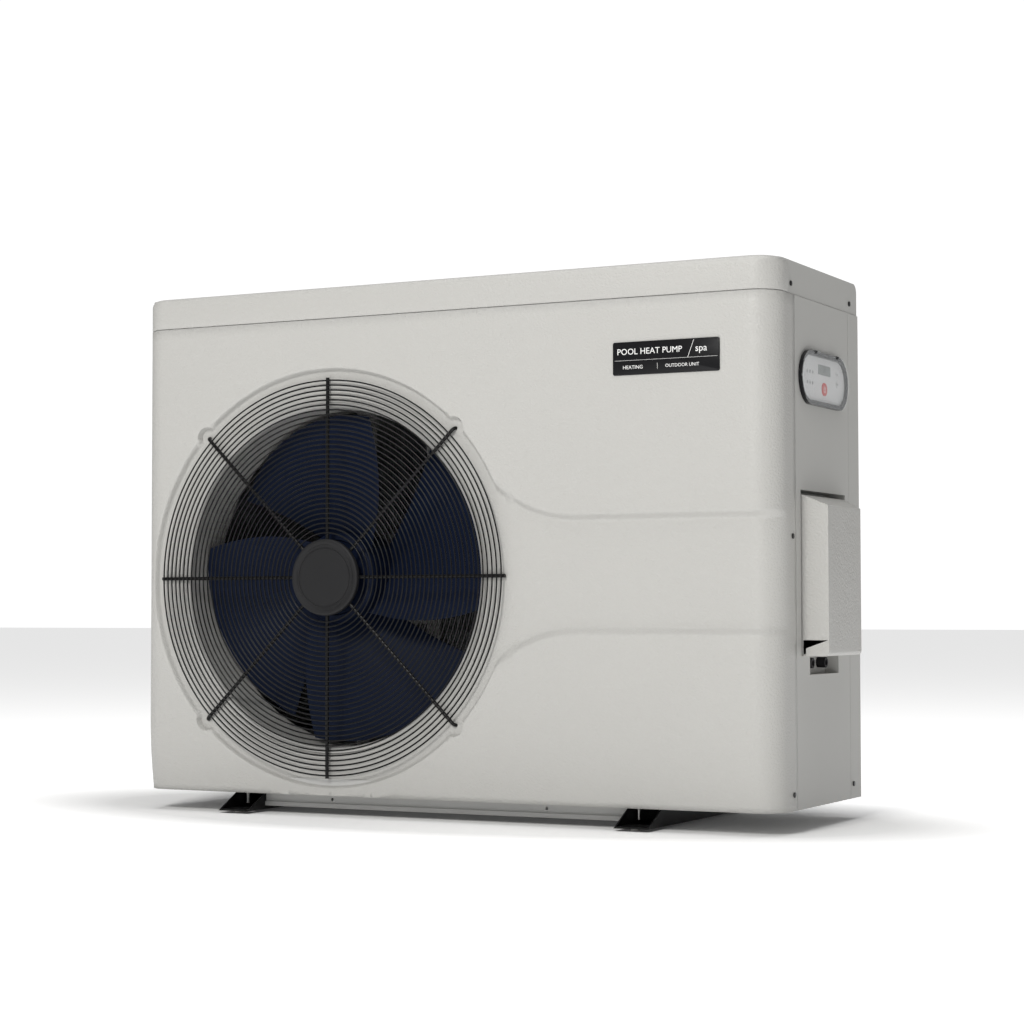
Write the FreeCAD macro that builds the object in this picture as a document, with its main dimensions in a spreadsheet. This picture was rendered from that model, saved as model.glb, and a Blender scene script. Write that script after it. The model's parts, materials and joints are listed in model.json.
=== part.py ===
import FreeCAD, Part
import math
import os
import re
import sys
from types import SimpleNamespace
from FreeCAD import Placement, Rotation, Vector

# Outdoor pool heat pump. Millimetres, +Z up, the front faces -Y and the service side faces +X.
# The origin is the centre of the four foot slots, on the plane that the feet stand on.

doc = FreeCAD.newDocument("pool_heat_pump")
sheet = doc.addObject("Spreadsheet::Sheet", "Sizes")

DRIVING_SIZES = """
cabinet_left -460        cabinet_right 500        front_face -166         cabinet_rear 150.5
panel_bottom 28.4        seam_height 679.4        lid_top 723             corner_radius 37
wall 2.5                 sheet_gauge 1.5          seam_gap 0.8            front_wrap 70.8
rear_seam 109            tuck_depth 8.5           tuck_height 96          fascia_depth 48
fascia_proud 1.5         lid_edge_radius 9        lid_rear_radius 12
fan_x -151.2             fan_z 325.3              recess_depth 9          recess_radius 285
ear_radius 14            ear_reach 278.4          hole_radius 239.4       throat_radius 231.4
shroud_depth 78          band_middle 326.3        band_half 73.4          band_bend 180
band_start 225
ring_count 32            ring_pitch 6.72          outer_ring 269          wire_radius 1.1
rod_radius 2.5           ring_plane -165.5        straight_rod 273        cap_radius 52.3
cap_front -171           cap_depth 6.6            plate_radius 46
blade_tip 224.5          hub_radius 62            hub_front -142          hub_depth 80
shaft_radius 6           shaft_clearance 0.05     motor_radius 52         motor_front -56
motor_length 84
foot_spacing 604         foot_width 48            foot_gauge 2            button_height 3
button_radius 6.5        button_y 152             slot_spacing 260        slot_length 20
slot_width 10            foot_slant 50.8          flange_turn 12
plate_left 280.2         plate_bottom 579.4       plate_width 147         plate_height 42.5
display_y 5.8            display_z 577.9          display_length 176.5    display_height 70
display_proud 4.2        bezel_gauge 1            face_length 170.5       face_height 58
flap_gauge 1.3           flap_gap 0.3             hinge_drop 1.0          button_travel 0.8
box_front -71.9          box_rear 89              box_flat_rear 54        box_bottom 221.2
box_top 426.3            box_slope 14.2           box_proud 34.6          box_wall 2.5
tray_front -77.4         tray_rear 92.6           tray_top 432.4          tray_depth 26
slot_front -46.8         slot_rear 62.4           slot_bottom 197.1
partition_x 215          coil_front 108           coil_depth 35           coil_bottom 45
coil_top 655             union_x 395              inlet_z 120             outlet_z 470
exchanger_radius 68      exchanger_y 20           pipe_radius 16          socket_bore 25.1
socket_depth 30          compressor_x 290         compressor_y -70        compressor_radius 55
pass_y 117               liquid_z 349.5           gas_z 476
"""


def fill_sheet(text):
    """Writes each name and number of the text to a cell, with the name as its alias."""
    words = text.split()
    pairs = list(zip(words[::2], words[1::2]))
    for row, (alias, number) in enumerate(pairs, start=1):
        sheet.set(f"A{row}", alias.replace("_", " "))
        sheet.set(f"B{row}", number)
        sheet.setAlias(f"B{row}", alias)
    doc.recompute()
    return {alias: float(getattr(sheet, alias)) for alias, _ in pairs}


VALUES = fill_sheet(DRIVING_SIZES)
d = SimpleNamespace(**VALUES)
finished = {}


def formula(text):
    """A formula in the sheet's aliases, as the expression engine wants it."""
    return re.sub(r"[a-z_]+", lambda m: "Sizes." + m.group(0) if m.group(0) in VALUES else m.group(0), str(text))


def bind(thing, **formulas):
    for prop, text in formulas.items():
        thing.setExpression(prop, formula(text))
    return thing


def place(thing, x=0, y=0, z=0, axis=None, angle=0):
    """Puts the thing at a point given by formulas, turned about an axis."""
    if axis is not None:
        thing.Placement = Placement(Vector(), Rotation(Vector(*axis), angle))
    for letter, text in zip("xyz", (x, y, z)):
        thing.setExpression("Placement.Base." + letter, formula(text))
    return thing


def box(name, x, y, z, length, width, height):
    """A block from its lowest corner and its three sizes."""
    thing = doc.addObject("Part::Box", name)
    bind(thing, Length=length, Width=width, Height=height)
    return place(thing, x, y, z)


TURNS = {"Z": None, "Y": (-1, 0, 0), "X": (0, 1, 0)}


def rod(name, radius, length, x, y, z, along="Z"):
    """A cylinder that starts at a point and runs along +X, +Y or +Z."""
    thing = doc.addObject("Part::Cylinder", name)
    bind(thing, Radius=radius, Height=length)
    return place(thing, x, y, z, TURNS[along], 90)


def fuse(name, things):
    thing = doc.addObject("Part::MultiFuse", name)
    thing.Shapes = list(things)
    return thing


def cut(name, base, *tools):
    thing = doc.addObject("Part::Cut", name)
    thing.Base = base
    thing.Tool = tools[0] if len(tools) == 1 else fuse(name + "_tools", tools)
    return thing


def common(name, one, other):
    thing = doc.addObject("Part::Common", name)
    thing.Base = one
    thing.Tool = other
    return thing


def tube(name, outer, inner, length, x, y, z, along="Z"):
    """A round pipe between two radii."""
    return cut(name, rod(name + "_outside", outer, length, x, y, z, along),
               rod(name + "_bore", inner, length, x, y, z, along))


def shape(name, solids):
    """A feature whose shape comes from Part's own functions; several solids stay separate."""
    thing = doc.addObject("Part::Feature", name)
    solids = list(solids) if isinstance(solids, (list, tuple)) else [solids]
    thing.Shape = solids[0] if len(solids) == 1 else Part.makeCompound(solids)
    return thing


def sub_part(label, thing):
    """Marks a finished sub-part: its label names its file."""
    thing.Label = label
    finished[label] = thing
    return thing


def polyline(points):
    """Sketch segments round a closed list of points."""
    return [("line", a, b) for a, b in zip(points, points[1:] + points[:1])]


def profile_body(name, plane, outlines, depth):
    """A body with one sketch on an origin plane, padded by a formula."""
    body = doc.addObject("PartDesign::Body", name)
    sketch = body.newObject("Sketcher::SketchObject", name + "_sketch")
    origin_plane = [f for f in body.Origin.OriginFeatures if f.Role == plane][0]
    sketch.AttachmentSupport = (origin_plane, [""])
    sketch.MapMode = "FlatFace"
    for piece in outlines:
        if piece[0] == "line":
            sketch.addGeometry(Part.LineSegment(Vector(*piece[1], 0), Vector(*piece[2], 0)))
            continue
        circle = Part.Circle(Vector(*piece[1], 0), Vector(0, 0, 1), piece[2])
        if piece[0] == "circle":
            sketch.addGeometry(circle)
        else:
            start, end = math.radians(piece[3]), math.radians(piece[4])
            sketch.addGeometry(Part.ArcOfCircle(circle, start, end))
    pad = body.newObject("PartDesign::Pad", name + "_pad")
    pad.Profile = sketch
    pad.setExpression("Length", formula(depth))
    return body


def round_front(left, right, front, back, radius):
    """Plan outline with both front corners rounded."""
    return [("line", (left, back), (left, front + radius)),
            ("arc", (left + radius, front + radius), radius, 180, 270),
            ("line", (left + radius, front), (right - radius, front)),
            ("arc", (right - radius, front + radius), radius, 270, 360),
            ("line", (right, front + radius), (right, back)),
            ("line", (right, back), (left, back))]


def stadium(centre_y, centre_z, length, height):
    """Outline with straight top and bottom and round ends."""
    radius = height / 2
    reach = length / 2 - radius
    low, high = centre_z - radius, centre_z + radius
    return [("line", (centre_y - reach, low), (centre_y + reach, low)),
            ("arc", (centre_y + reach, centre_z), radius, -90, 90),
            ("line", (centre_y + reach, high), (centre_y - reach, high)),
            ("arc", (centre_y - reach, centre_z), radius, 90, 270)]


def route(points, radius, bend):
    """A round pipe along straight runs joined by tangent arcs of one bend radius."""
    edges = []
    here = Vector(*points[0])
    for before, corner, after in zip(points, points[1:], points[2:]):
        corner = Vector(*corner)
        incoming = (corner - Vector(*before)).normalize()
        outgoing = (Vector(*after) - corner).normalize()
        half_turn = incoming.getAngle(outgoing) / 2
        setback = bend * math.tan(half_turn)
        start, end = corner - incoming * setback, corner + outgoing * setback
        inward = (outgoing - incoming).normalize()
        middle = corner + inward * (bend / math.cos(half_turn) - bend)
        edges.append(Part.LineSegment(here, start).toShape())
        edges.append(Part.Arc(start, middle, end).toShape())
        here = end
    edges.append(Part.LineSegment(here, Vector(*points[-1])).toShape())
    path = Part.Wire(edges)
    direction = Vector(*points[1]) - Vector(*points[0])
    ring = Part.Wire(Part.makeCircle(radius, Vector(*points[0]), direction))
    return path.makePipeShell([ring], True, False)


def around(radius, degrees, y):
    """A point round the fan's axis, at an angle from +X towards +Z."""
    angle = math.radians(degrees)
    return Vector(d.fan_x + radius * math.cos(angle), y, d.fan_z + radius * math.sin(angle))


# ---------------------------------------------------------------- casing

def front_block(name, inset, shift):
    """The front panel's rounded block; inset draws its skin in, shift moves its face back."""
    outline = round_front(d.cabinet_left + inset, d.cabinet_right - inset, d.front_face + inset + shift,
                          d.front_face + d.front_wrap, d.corner_radius - inset)
    body = profile_body(name, "XY_Plane", outline, "seam_height - seam_gap - panel_bottom")
    return place(body, z="panel_bottom")


def recess_region(name, grow):
    """What is pressed back in the front panel: a disc, four ears at 45 degrees and the band to its right."""
    deep = d.front_wrap
    pieces = [rod(name + "_disc", f"recess_radius + {grow}", deep, "fan_x", "front_face - 1", "fan_z", "Y")]
    for degrees in (45, 135, 225, 315):
        spot = around(d.ear_reach, degrees, 0)
        pieces.append(rod(name + "_ear", f"ear_radius + {grow}", deep, spot.x, "front_face - 1", spot.z, "Y"))
    bend = d.band_bend - grow
    high, low = d.band_middle + d.band_half + grow, d.band_middle - d.band_half - grow
    sweep = 44
    back = d.band_start - bend * math.sin(math.radians(sweep))
    rise = bend - bend * math.cos(math.radians(sweep))
    right = d.cabinet_right + 10
    band = [("line", (right, low), (right, high)),
            ("line", (right, high), (d.band_start, high)),
            ("arc", (d.band_start, high + bend), bend, 270 - sweep, 270),
            ("line", (back, high + rise), (back, low - rise)),
            ("arc", (d.band_start, low - bend), bend, 90, 90 + sweep),
            ("line", (d.band_start, low), (right, low))]
    body = profile_body(name + "_band", "XZ_Plane", band, deep)
    pieces.append(place(body, y=f"front_face - 1 + {deep}"))
    return fuse(name, pieces)


def tuck_wedge(name, inset):
    """The wedge below the front face, where the panel leans back towards its bottom edge."""
    face = d.front_face + inset
    top = d.panel_bottom + d.tuck_height
    wedge = polyline([(face - 5, d.panel_bottom - 1), (face + d.tuck_depth, d.panel_bottom - 1),
                      (face + d.tuck_depth, d.panel_bottom), (face, top), (face - 5, top)])
    body = profile_body(name, "YZ_Plane", wedge, "cabinet_right - cabinet_left + 4")
    return place(body, x="cabinet_left - 2")


def pressed_block(name, inset):
    face = cut(name + "_face", front_block(name + "_proud", inset, 0), recess_region(name + "_region", inset))
    both = fuse(name + "_both", [face, front_block(name + "_floor", inset, d.recess_depth)])
    return cut(name, both, tuck_wedge(name + "_tuck", inset))


def side_holes(name, spots, radius):
    """Screw holes through both cabinet sides at (y, z) spots."""
    return [rod(name, radius, "cabinet_right - cabinet_left + 4", "cabinet_left - 2", y, z, "X") for y, z in spots]


SIDE_SCREWS_FRONT = [(-107.5, 372.5), (-107.5, 48.8)]
SIDE_SCREWS_REAR = [(118.7, 48.0), (118.7, 372.5)]
SIDE_SCREWS_LID = [(-104.9, 692.0), (118.7, 692.0)]
SCREW_HOLE = 1.8


def make_front_panel():
    shell = cut("front_shell", pressed_block("front_outside", 0), pressed_block("front_inside", d.wall))
    opening = rod("fan_hole", "hole_radius", 60, "fan_x", "front_face - 5", "fan_z", "Y")
    ears = []
    for degrees in (45, 135, 225, 315):
        spot = around(d.ear_reach, degrees, 0)
        ears.append(rod("ear_hole", "rod_radius + 0.2", 60, spot.x, "front_face - 5", spot.z, "Y"))
    screws = side_holes("front_screw_hole", SIDE_SCREWS_FRONT, SCREW_HOLE)
    sub_part("front_panel", cut("front_panel_cut", shell, opening, *ears, *screws))


def make_lid():
    proud = d.fascia_proud
    left, right = d.cabinet_left + proud, d.cabinet_right - proud
    front = d.front_face + 4 * proud
    corner = d.corner_radius - 4 * proud
    lid_outline = round_front(left, right, front, d.cabinet_rear, corner)
    lid = place(profile_body("lid_block", "XY_Plane", lid_outline, "lid_top - 1.5 - seam_height"), z="seam_height")
    inner = round_front(left + d.sheet_gauge, right - d.sheet_gauge, front + d.sheet_gauge,
                        d.cabinet_rear - d.sheet_gauge, corner - d.sheet_gauge)
    hollow = place(profile_body("lid_hollow", "XY_Plane", inner, "lid_top - 1.5 - sheet_gauge - seam_height + 1"),
                   z="seam_height - 1")
    holes = side_holes("lid_screw_hole", SIDE_SCREWS_LID, SCREW_HOLE)
    doc.recompute()

    def rear_edge_rounded(name, block, rear, radius):
        top = block.Shape.BoundBox.ZMax
        edges = [e for e in block.Shape.Edges if e.BoundBox.ZMin > top - 0.01 and e.BoundBox.YMin > rear - 0.01]
        return shape(name, block.Shape.makeFillet(radius, edges))

    outside = rear_edge_rounded("lid_outside", lid, d.cabinet_rear, d.lid_rear_radius)
    inside = rear_edge_rounded("lid_inside", hollow, d.cabinet_rear - d.sheet_gauge, d.lid_rear_radius - d.sheet_gauge)
    sub_part("top_lid", cut("lid_cut", outside, inside, *holes))

    outline = round_front(d.cabinet_left, d.cabinet_right, d.front_face, d.front_face + d.fascia_depth,
                          d.corner_radius)
    block = place(profile_body("fascia_block", "XY_Plane", outline, "lid_top - seam_height"), z="seam_height")
    doc.recompute()
    top = d.lid_top - 0.01
    back = d.front_face + d.fascia_depth - 0.01
    edges = [e for e in block.Shape.Edges
             if e.BoundBox.ZMin > top and e.BoundBox.YMin < back]
    rounded = shape("fascia_rounded", block.Shape.makeFillet(d.lid_edge_radius, edges))
    clear = round_front(left - 0.1, right + 0.1, front - 0.1, d.cabinet_rear, corner + 0.1)
    room = place(profile_body("fascia_room", "XY_Plane", clear, "lid_top - 1.4 - seam_height + 1"),
                 z="seam_height - 1")
    sub_part("lid_fascia", cut("fascia_cut", rounded, room))


def make_side_panels():
    seam = d.front_face + d.front_wrap + d.seam_gap
    panel = box("side_sheet", "cabinet_right - 2", seam, "panel_bottom", 2,
                d.rear_seam - d.seam_gap - seam, "seam_height - seam_gap - panel_bottom")
    display = profile_body("display_hole", "YZ_Plane",
                           stadium(d.display_y, d.display_z, d.display_length - 3, d.display_height - 3), 10)
    tray = box("tray_hole", "cabinet_right - 5", "tray_front", "box_bottom", 10,
               "tray_rear - tray_front", "tray_top - box_bottom")
    exit_slot = box("exit_hole", "cabinet_right - 5", "slot_front", "slot_bottom", 10,
                    "slot_rear - slot_front", "box_bottom - slot_bottom + 1")
    sub_part("right_side_panel", cut("side_cut", panel, place(display, x="cabinet_right - 5"), tray, exit_slot))

    strip = box("corner_strip", "cabinet_right - 2", "rear_seam", "panel_bottom", 2,
                "cabinet_rear - rear_seam", "seam_height - seam_gap - panel_bottom")
    back = box("corner_back", "partition_x + 2", "cabinet_rear - 2", "panel_bottom",
               "cabinet_right - partition_x - 2", 2, "seam_height - seam_gap - panel_bottom")
    corner = fuse("corner_both", [strip, back])
    ports = [rod("port_hole", 27, 10, "union_x", "cabinet_rear - 5", z, "Y") for z in ("inlet_z", "outlet_z")]
    screws = side_holes("rear_screw_hole", SIDE_SCREWS_REAR, SCREW_HOLE)
    sub_part("rear_corner_panel", cut("corner_cut", corner, *ports, *screws))

    left_front = d.front_face + d.front_wrap + d.seam_gap
    left = box("left_sheet", "cabinet_left", left_front, "panel_bottom", 2, d.cabinet_rear - left_front,
               "seam_height - seam_gap - panel_bottom")
    turned = box("left_turn", "cabinet_left", "cabinet_rear - 2", "panel_bottom", 40, 2,
                 "seam_height - seam_gap - panel_bottom")
    louvres = []
    louvre_count = 22
    first, last = d.panel_bottom + 60, d.seam_height - 60
    for step in range(louvre_count):
        height = first + (last - first) * step / (louvre_count - 1)
        for start in (left_front + 16, left_front + 112):
            louvres.append(box("louvre", "cabinet_left - 5", start, height, 10, 84, 12))
    holes = [rod("left_screw_hole", SCREW_HOLE, 10, "cabinet_left - 5", y, z, "X") for y, z in SIDE_SCREWS_REAR]
    sub_part("left_side_grille", cut("left_cut", fuse("left_both", [left, turned]), *louvres, *holes))


def make_base():
    front, rear, corner = d.front_face + 12.5, d.cabinet_rear - 3, d.corner_radius - 3
    outline = round_front(d.cabinet_left + 4, d.cabinet_right - 4, front, rear, corner)
    inner = round_front(d.cabinet_left + 4 + d.sheet_gauge, d.cabinet_right - 4 - d.sheet_gauge,
                        front + d.sheet_gauge, rear - d.sheet_gauge, corner - d.sheet_gauge)
    floor = place(profile_body("pan_block", "XY_Plane", outline, 22), z="panel_bottom + 0.6")
    hollow = place(profile_body("pan_hollow", "XY_Plane", inner, 22), z="panel_bottom + 0.6 + sheet_gauge")
    drain = rod("drain_hole", 9, 20, 0, 60, "panel_bottom - 5")
    bolts = [rod("pan_bolt_hole", 2.7, 20, x, y, "panel_bottom - 5") for x, y in foot_bolt_spots()]
    screws = side_holes("pan_screw_hole", SIDE_SCREWS_FRONT[1:] + SIDE_SCREWS_REAR[:1], SCREW_HOLE)
    sub_part("base_pan", cut("pan_cut", floor, hollow, drain, *bolts, *screws))
    spigot = fuse("spigot", [tube("spigot_pipe", 8.8, 7, 22, 0, 60, 9), tube("spigot_collar", 13, 7, 2, 0, 60, 27)])
    sub_part("drain_spigot", spigot)


def foot_bolt_spots():
    """(x, y) of the bolts that hold each foot's two top flanges to the base pan."""
    side = d.foot_width / 2 - 8
    return [(sign * d.foot_spacing / 2 + offset, y)
            for sign in (-1, 1) for offset in (-side, side) for y in (-104, 104)]


def make_foot(label, sign):
    """An open channel under the cabinet: web on the ground side, top flanges turned in, ends cut at a slant."""
    half = d.foot_width / 2
    low, high = d.button_height, d.panel_bottom + 0.6
    gauge = d.foot_gauge
    section = polyline([(-half, low), (half, low), (half, high), (half - d.flange_turn, high),
                        (half - d.flange_turn, high - gauge), (half - gauge, high - gauge),
                        (half - gauge, low + gauge), (gauge - half, low + gauge), (gauge - half, high - gauge),
                        (d.flange_turn - half, high - gauge), (d.flange_turn - half, high), (-half, high)])
    long = place(profile_body(label + "_section", "XZ_Plane", section, "-2 * front_face"),
                 x=f"{sign} * foot_spacing / 2", y="-front_face")
    end = d.front_face
    side_view = polyline([(end, low), (-end, low), (-end - d.foot_slant, high), (end + d.foot_slant, high)])
    slanted = place(profile_body(label + "_slant", "YZ_Plane", side_view, "foot_width + 4"),
                    x=f"{sign} * foot_spacing / 2 - foot_width / 2 - 2")
    channel = common(label + "_ends", long, slanted)
    reach = (d.slot_length - d.slot_width) / 2
    tools = []
    for y in (-d.slot_spacing / 2, d.slot_spacing / 2):
        for offset in (-reach, reach):
            tools.append(rod(label + "_slot_end", "slot_width / 2", 10, f"{sign} * foot_spacing / 2 + {offset}", y, 0))
        tools.append(box(label + "_slot_middle", f"{sign} * foot_spacing / 2 - {reach}", f"{y} - slot_width / 2", 0,
                         2 * reach, "slot_width", 10))
    tools += [rod(label + "_bolt_hole", 2.7, 20, x, y, high - 6) for x, y in foot_bolt_spots() if x * sign > 0]
    sub_part(label, cut(label + "_cut", channel, *tools))


def make_foot_trim():
    buttons = [Part.makeCylinder(d.button_radius, d.button_height, Vector(sign * d.foot_spacing / 2, y, 0))
               for sign in (-1, 1) for y in (-d.button_y, d.button_y)]
    sub_part("foot_buttons", shape("foot_buttons_shape", buttons))
    bolts = []
    for x, y in foot_bolt_spots():
        under = d.panel_bottom + 0.6 - d.foot_gauge
        shank = Part.makeCylinder(2.5, 24, Vector(x, y, under - 18))
        nut = Part.makeCylinder(4.2, 4, Vector(x, y, under - 4))
        head = Part.makeCylinder(4.6, 3.2, Vector(x, y, d.panel_bottom + 2.1))
        bolts.append(shank.fuse([nut, head]))
    sub_part("foot_bolts", shape("foot_bolts_shape", bolts))
    reach = d.foot_spacing / 2 - d.foot_width / 2
    bars = []
    for front in (-118, 116.5):
        bar = Part.makeBox(2 * reach, 1.5, 20.5, Vector(-reach, front, 8.3))
        lip = Part.makeBox(2 * reach, 3, 6, Vector(-reach, front - 3, 8.3))
        bar = bar.fuse(lip)
        for x in (-170, 160):
            bar = bar.cut(Part.makeCylinder(2.2, 10, Vector(x, front - 5, 20), Vector(0, 1, 0)))
        bars.append(bar.removeSplitter())
    sub_part("foot_cross_bars", shape("cross_bars_shape", bars))


def make_coil_guard():
    """Welded wire grid behind the coil: upright wires outside, level wires inside, four stand-off blocks."""
    left, right = d.cabinet_left + 24, d.partition_x + 18
    low, high = d.panel_bottom + 8, d.seam_height - 8
    wire = 1.5
    level_y = d.cabinet_rear + 11
    wires = []
    upright_count, level_count = 40, 9
    for step in range(upright_count):
        x = left + 2 + (right - left - 4) * step / (upright_count - 1)
        wires.append(Part.makeCylinder(wire, high - low, Vector(x, level_y + 2 * wire, low)))
    for step in range(level_count):
        z = low + 3 + (high - low - 6) * step / (level_count - 1)
        wires.append(Part.makeCylinder(wire, right - left, Vector(left, level_y, z), Vector(1, 0, 0)))
    post = level_y - wire - d.cabinet_rear
    for x, width in ((left, 14), (right - 14, 14)):
        for z in (low + 60, high - 80):
            wires.append(Part.makeBox(width, post, 12, Vector(x, d.cabinet_rear, z)))
    sub_part("rear_coil_guard", shape("coil_guard_shape", wires))


def make_partition():
    wall = box("partition_wall", "partition_x", "front_face + 15.5", "panel_bottom + 2.2", "sheet_gauge",
               "cabinet_rear - front_face - 21.5", "seam_height - panel_bottom - 4")
    turn = box("partition_turn", "partition_x", "cabinet_rear - 6", "panel_bottom + 2.2", 22, "sheet_gauge",
               "seam_height - panel_bottom - 4")
    window = box("sink_window", "partition_x - 5", -92, 542, 10, 184, 66)
    passes = [rod("coil_pass", 8, 10, "partition_x - 5", "pass_y", z, "X") for z in ("liquid_z", "gas_z")]
    sub_part("partition_plate", cut("partition_cut", fuse("partition_both", [wall, turn]), window, *passes))


def make_name_plate():
    plate = box("plate_block", "plate_left", "front_face - 1.4", "plate_bottom", "plate_width", 1.3, "plate_height")
    doc.recompute()
    corners = [e for e in plate.Shape.Edges if abs(e.BoundBox.YLength - 1.3) < 0.01]
    sub_part("name_plate", shape("plate_rounded", plate.Shape.makeFillet(2.5, corners)))


def make_screws():
    """Pan-head screws through the cabinet's side skins."""
    screws = []

    def screw(x, y, z, out):
        head = Part.makeCylinder(3.4, 1.6, Vector(x, y, z), Vector(out, 0, 0))
        shank = Part.makeCylinder(1.75, 8, Vector(x, y, z), Vector(-out, 0, 0))
        screws.append(head.fuse(shank).removeSplitter())

    for x, out in ((d.cabinet_left, -1), (d.cabinet_right, 1)):
        for y, z in SIDE_SCREWS_FRONT + SIDE_SCREWS_REAR:
            screw(x, y, z, out)
        for y, z in SIDE_SCREWS_LID:
            screw(x - out * d.fascia_proud, y, z, out)
    sub_part("casing_screws", shape("screws_shape", screws))


# ---------------------------------------------------------------- fan side

def make_shroud():
    """Bell mouth, throat and rear skirt turned round the fan's axis, with the flange behind the panel."""
    throat, lip, gauge = d.throat_radius, d.hole_radius - 0.2, 2.0
    lip_y = d.front_face + d.recess_depth
    turn = lip - throat
    end_y = lip_y + d.shroud_depth
    flange_y = lip_y + d.wall + 0.3
    outer_turn = turn - gauge
    points = [(throat, lip_y + turn), (throat, end_y), (throat + gauge, end_y), (throat + gauge, flange_y + gauge),
              (lip + 22, flange_y + gauge), (lip + 22, flange_y), (lip, flange_y), (lip, lip_y)]
    edges = [Part.LineSegment(Vector(a[0], a[1], 0), Vector(b[0], b[1], 0)).toShape()
             for a, b in zip(points, points[1:])]
    middle = Vector(lip - turn * math.sin(math.pi / 4), lip_y + turn - turn * math.cos(math.pi / 4), 0)
    edges.append(Part.Arc(Vector(lip, lip_y, 0), middle, Vector(throat, lip_y + turn, 0)).toShape())
    face = Part.Face(Part.Wire(edges))
    ring = face.revolve(Vector(0, 0, 0), Vector(0, 1, 0), 360)
    ring.translate(Vector(d.fan_x, 0, d.fan_z))
    sub_part("fan_shroud", shape("shroud_shape", ring))


def make_guard():
    """Concentric rings of six-sided wire, welded to eight radial rods; the diagonal rods end in studs."""
    solids = []
    for step in range(int(d.ring_count)):
        radius = d.outer_ring - step * d.ring_pitch
        corner = d.wire_radius / math.cos(math.pi / 6)
        angles = [math.radians(60 * k) for k in range(7)]
        section = Part.makePolygon([Vector(radius + corner * math.cos(a), corner * math.sin(a), 0) for a in angles])
        ring = Part.Face(section).revolve(Vector(0, 0, 0), Vector(0, 1, 0), 360)
        ring.translate(Vector(d.fan_x, d.ring_plane, d.fan_z))
        solids.append(ring)
    rod_y = d.ring_plane + d.wire_radius + d.rod_radius
    floor = d.front_face + d.recess_depth
    inner = 20
    for step in range(8):
        degrees = 45 * step
        outward = around(1, degrees, 0) - around(0, degrees, 0)
        diagonal = step % 2 == 1
        reach = d.ear_reach if diagonal else d.straight_rod
        piece = Part.makeCylinder(d.rod_radius, reach - inner, around(inner, degrees, rod_y), outward)
        if diagonal:
            stud = Part.makeCylinder(d.rod_radius, floor + 14 - rod_y, around(reach, degrees, rod_y), Vector(0, 1, 0))
            knee = Part.makeSphere(d.rod_radius, around(reach, degrees, rod_y))
            piece = piece.fuse([stud, knee]).removeSplitter()
        solids.append(piece)
    plate = Part.makeCylinder(d.plate_radius, 1.5, Vector(d.fan_x, rod_y + d.rod_radius, d.fan_z), Vector(0, 1, 0))
    solids.append(plate)
    sub_part("fan_guard", shape("guard_shape", solids))

    disc = Part.makeCylinder(d.cap_radius, d.cap_depth, Vector(d.fan_x, d.cap_front, d.fan_z), Vector(0, 1, 0))
    disc = disc.makeFillet(1.2, [e for e in disc.Edges if abs(e.BoundBox.YMax - d.cap_front) < 0.01])
    inside = Part.makeCylinder(d.cap_radius - 2.5, d.cap_depth, Vector(d.fan_x, d.cap_front + 2.2, d.fan_z),
                               Vector(0, 1, 0))
    sub_part("guard_cap", shape("cap_shape", disc.cut(inside)))

    behind = floor + d.wall
    nuts = []
    for degrees in (45, 135, 225, 315):
        nut = Part.makeCylinder(5.5, 4, around(d.ear_reach, degrees, behind), Vector(0, 1, 0))
        nuts.append(nut.cut(Part.makeCylinder(d.rod_radius, 4, around(d.ear_reach, degrees, behind), Vector(0, 1, 0))))
    sub_part("guard_nuts", shape("nuts_shape", nuts))


def blade_section(radius, middle, half_width, lean):
    """One closed, flat blade section square to the radius at its middle, 3 mm thick and bowed."""
    thick = 1.5
    pitch = math.radians(24)
    centre = around(radius, middle, d.hub_front + d.hub_depth / 2 + lean)
    tangent = around(1, middle + 90, 0) - around(0, middle, 0)
    rows = []
    for side in (-1, 1):
        curve = Part.BSplineCurve()
        points = []
        for step in range(7):
            share = -1 + 2 * step / 6
            along = share * half_width
            bow = 6 * (1 - share * share)
            points.append(centre + tangent * along * math.cos(pitch)
                          + Vector(0, along * math.sin(pitch) - bow + side * thick, 0))
        curve.interpolate(points)
        rows.append(curve)
    front, back = rows
    first = Part.LineSegment(front.StartPoint, back.StartPoint).toShape()
    last = Part.LineSegment(front.EndPoint, back.EndPoint).toShape()
    return Part.Wire([front.toShape(), last, back.toShape(), first])


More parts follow.
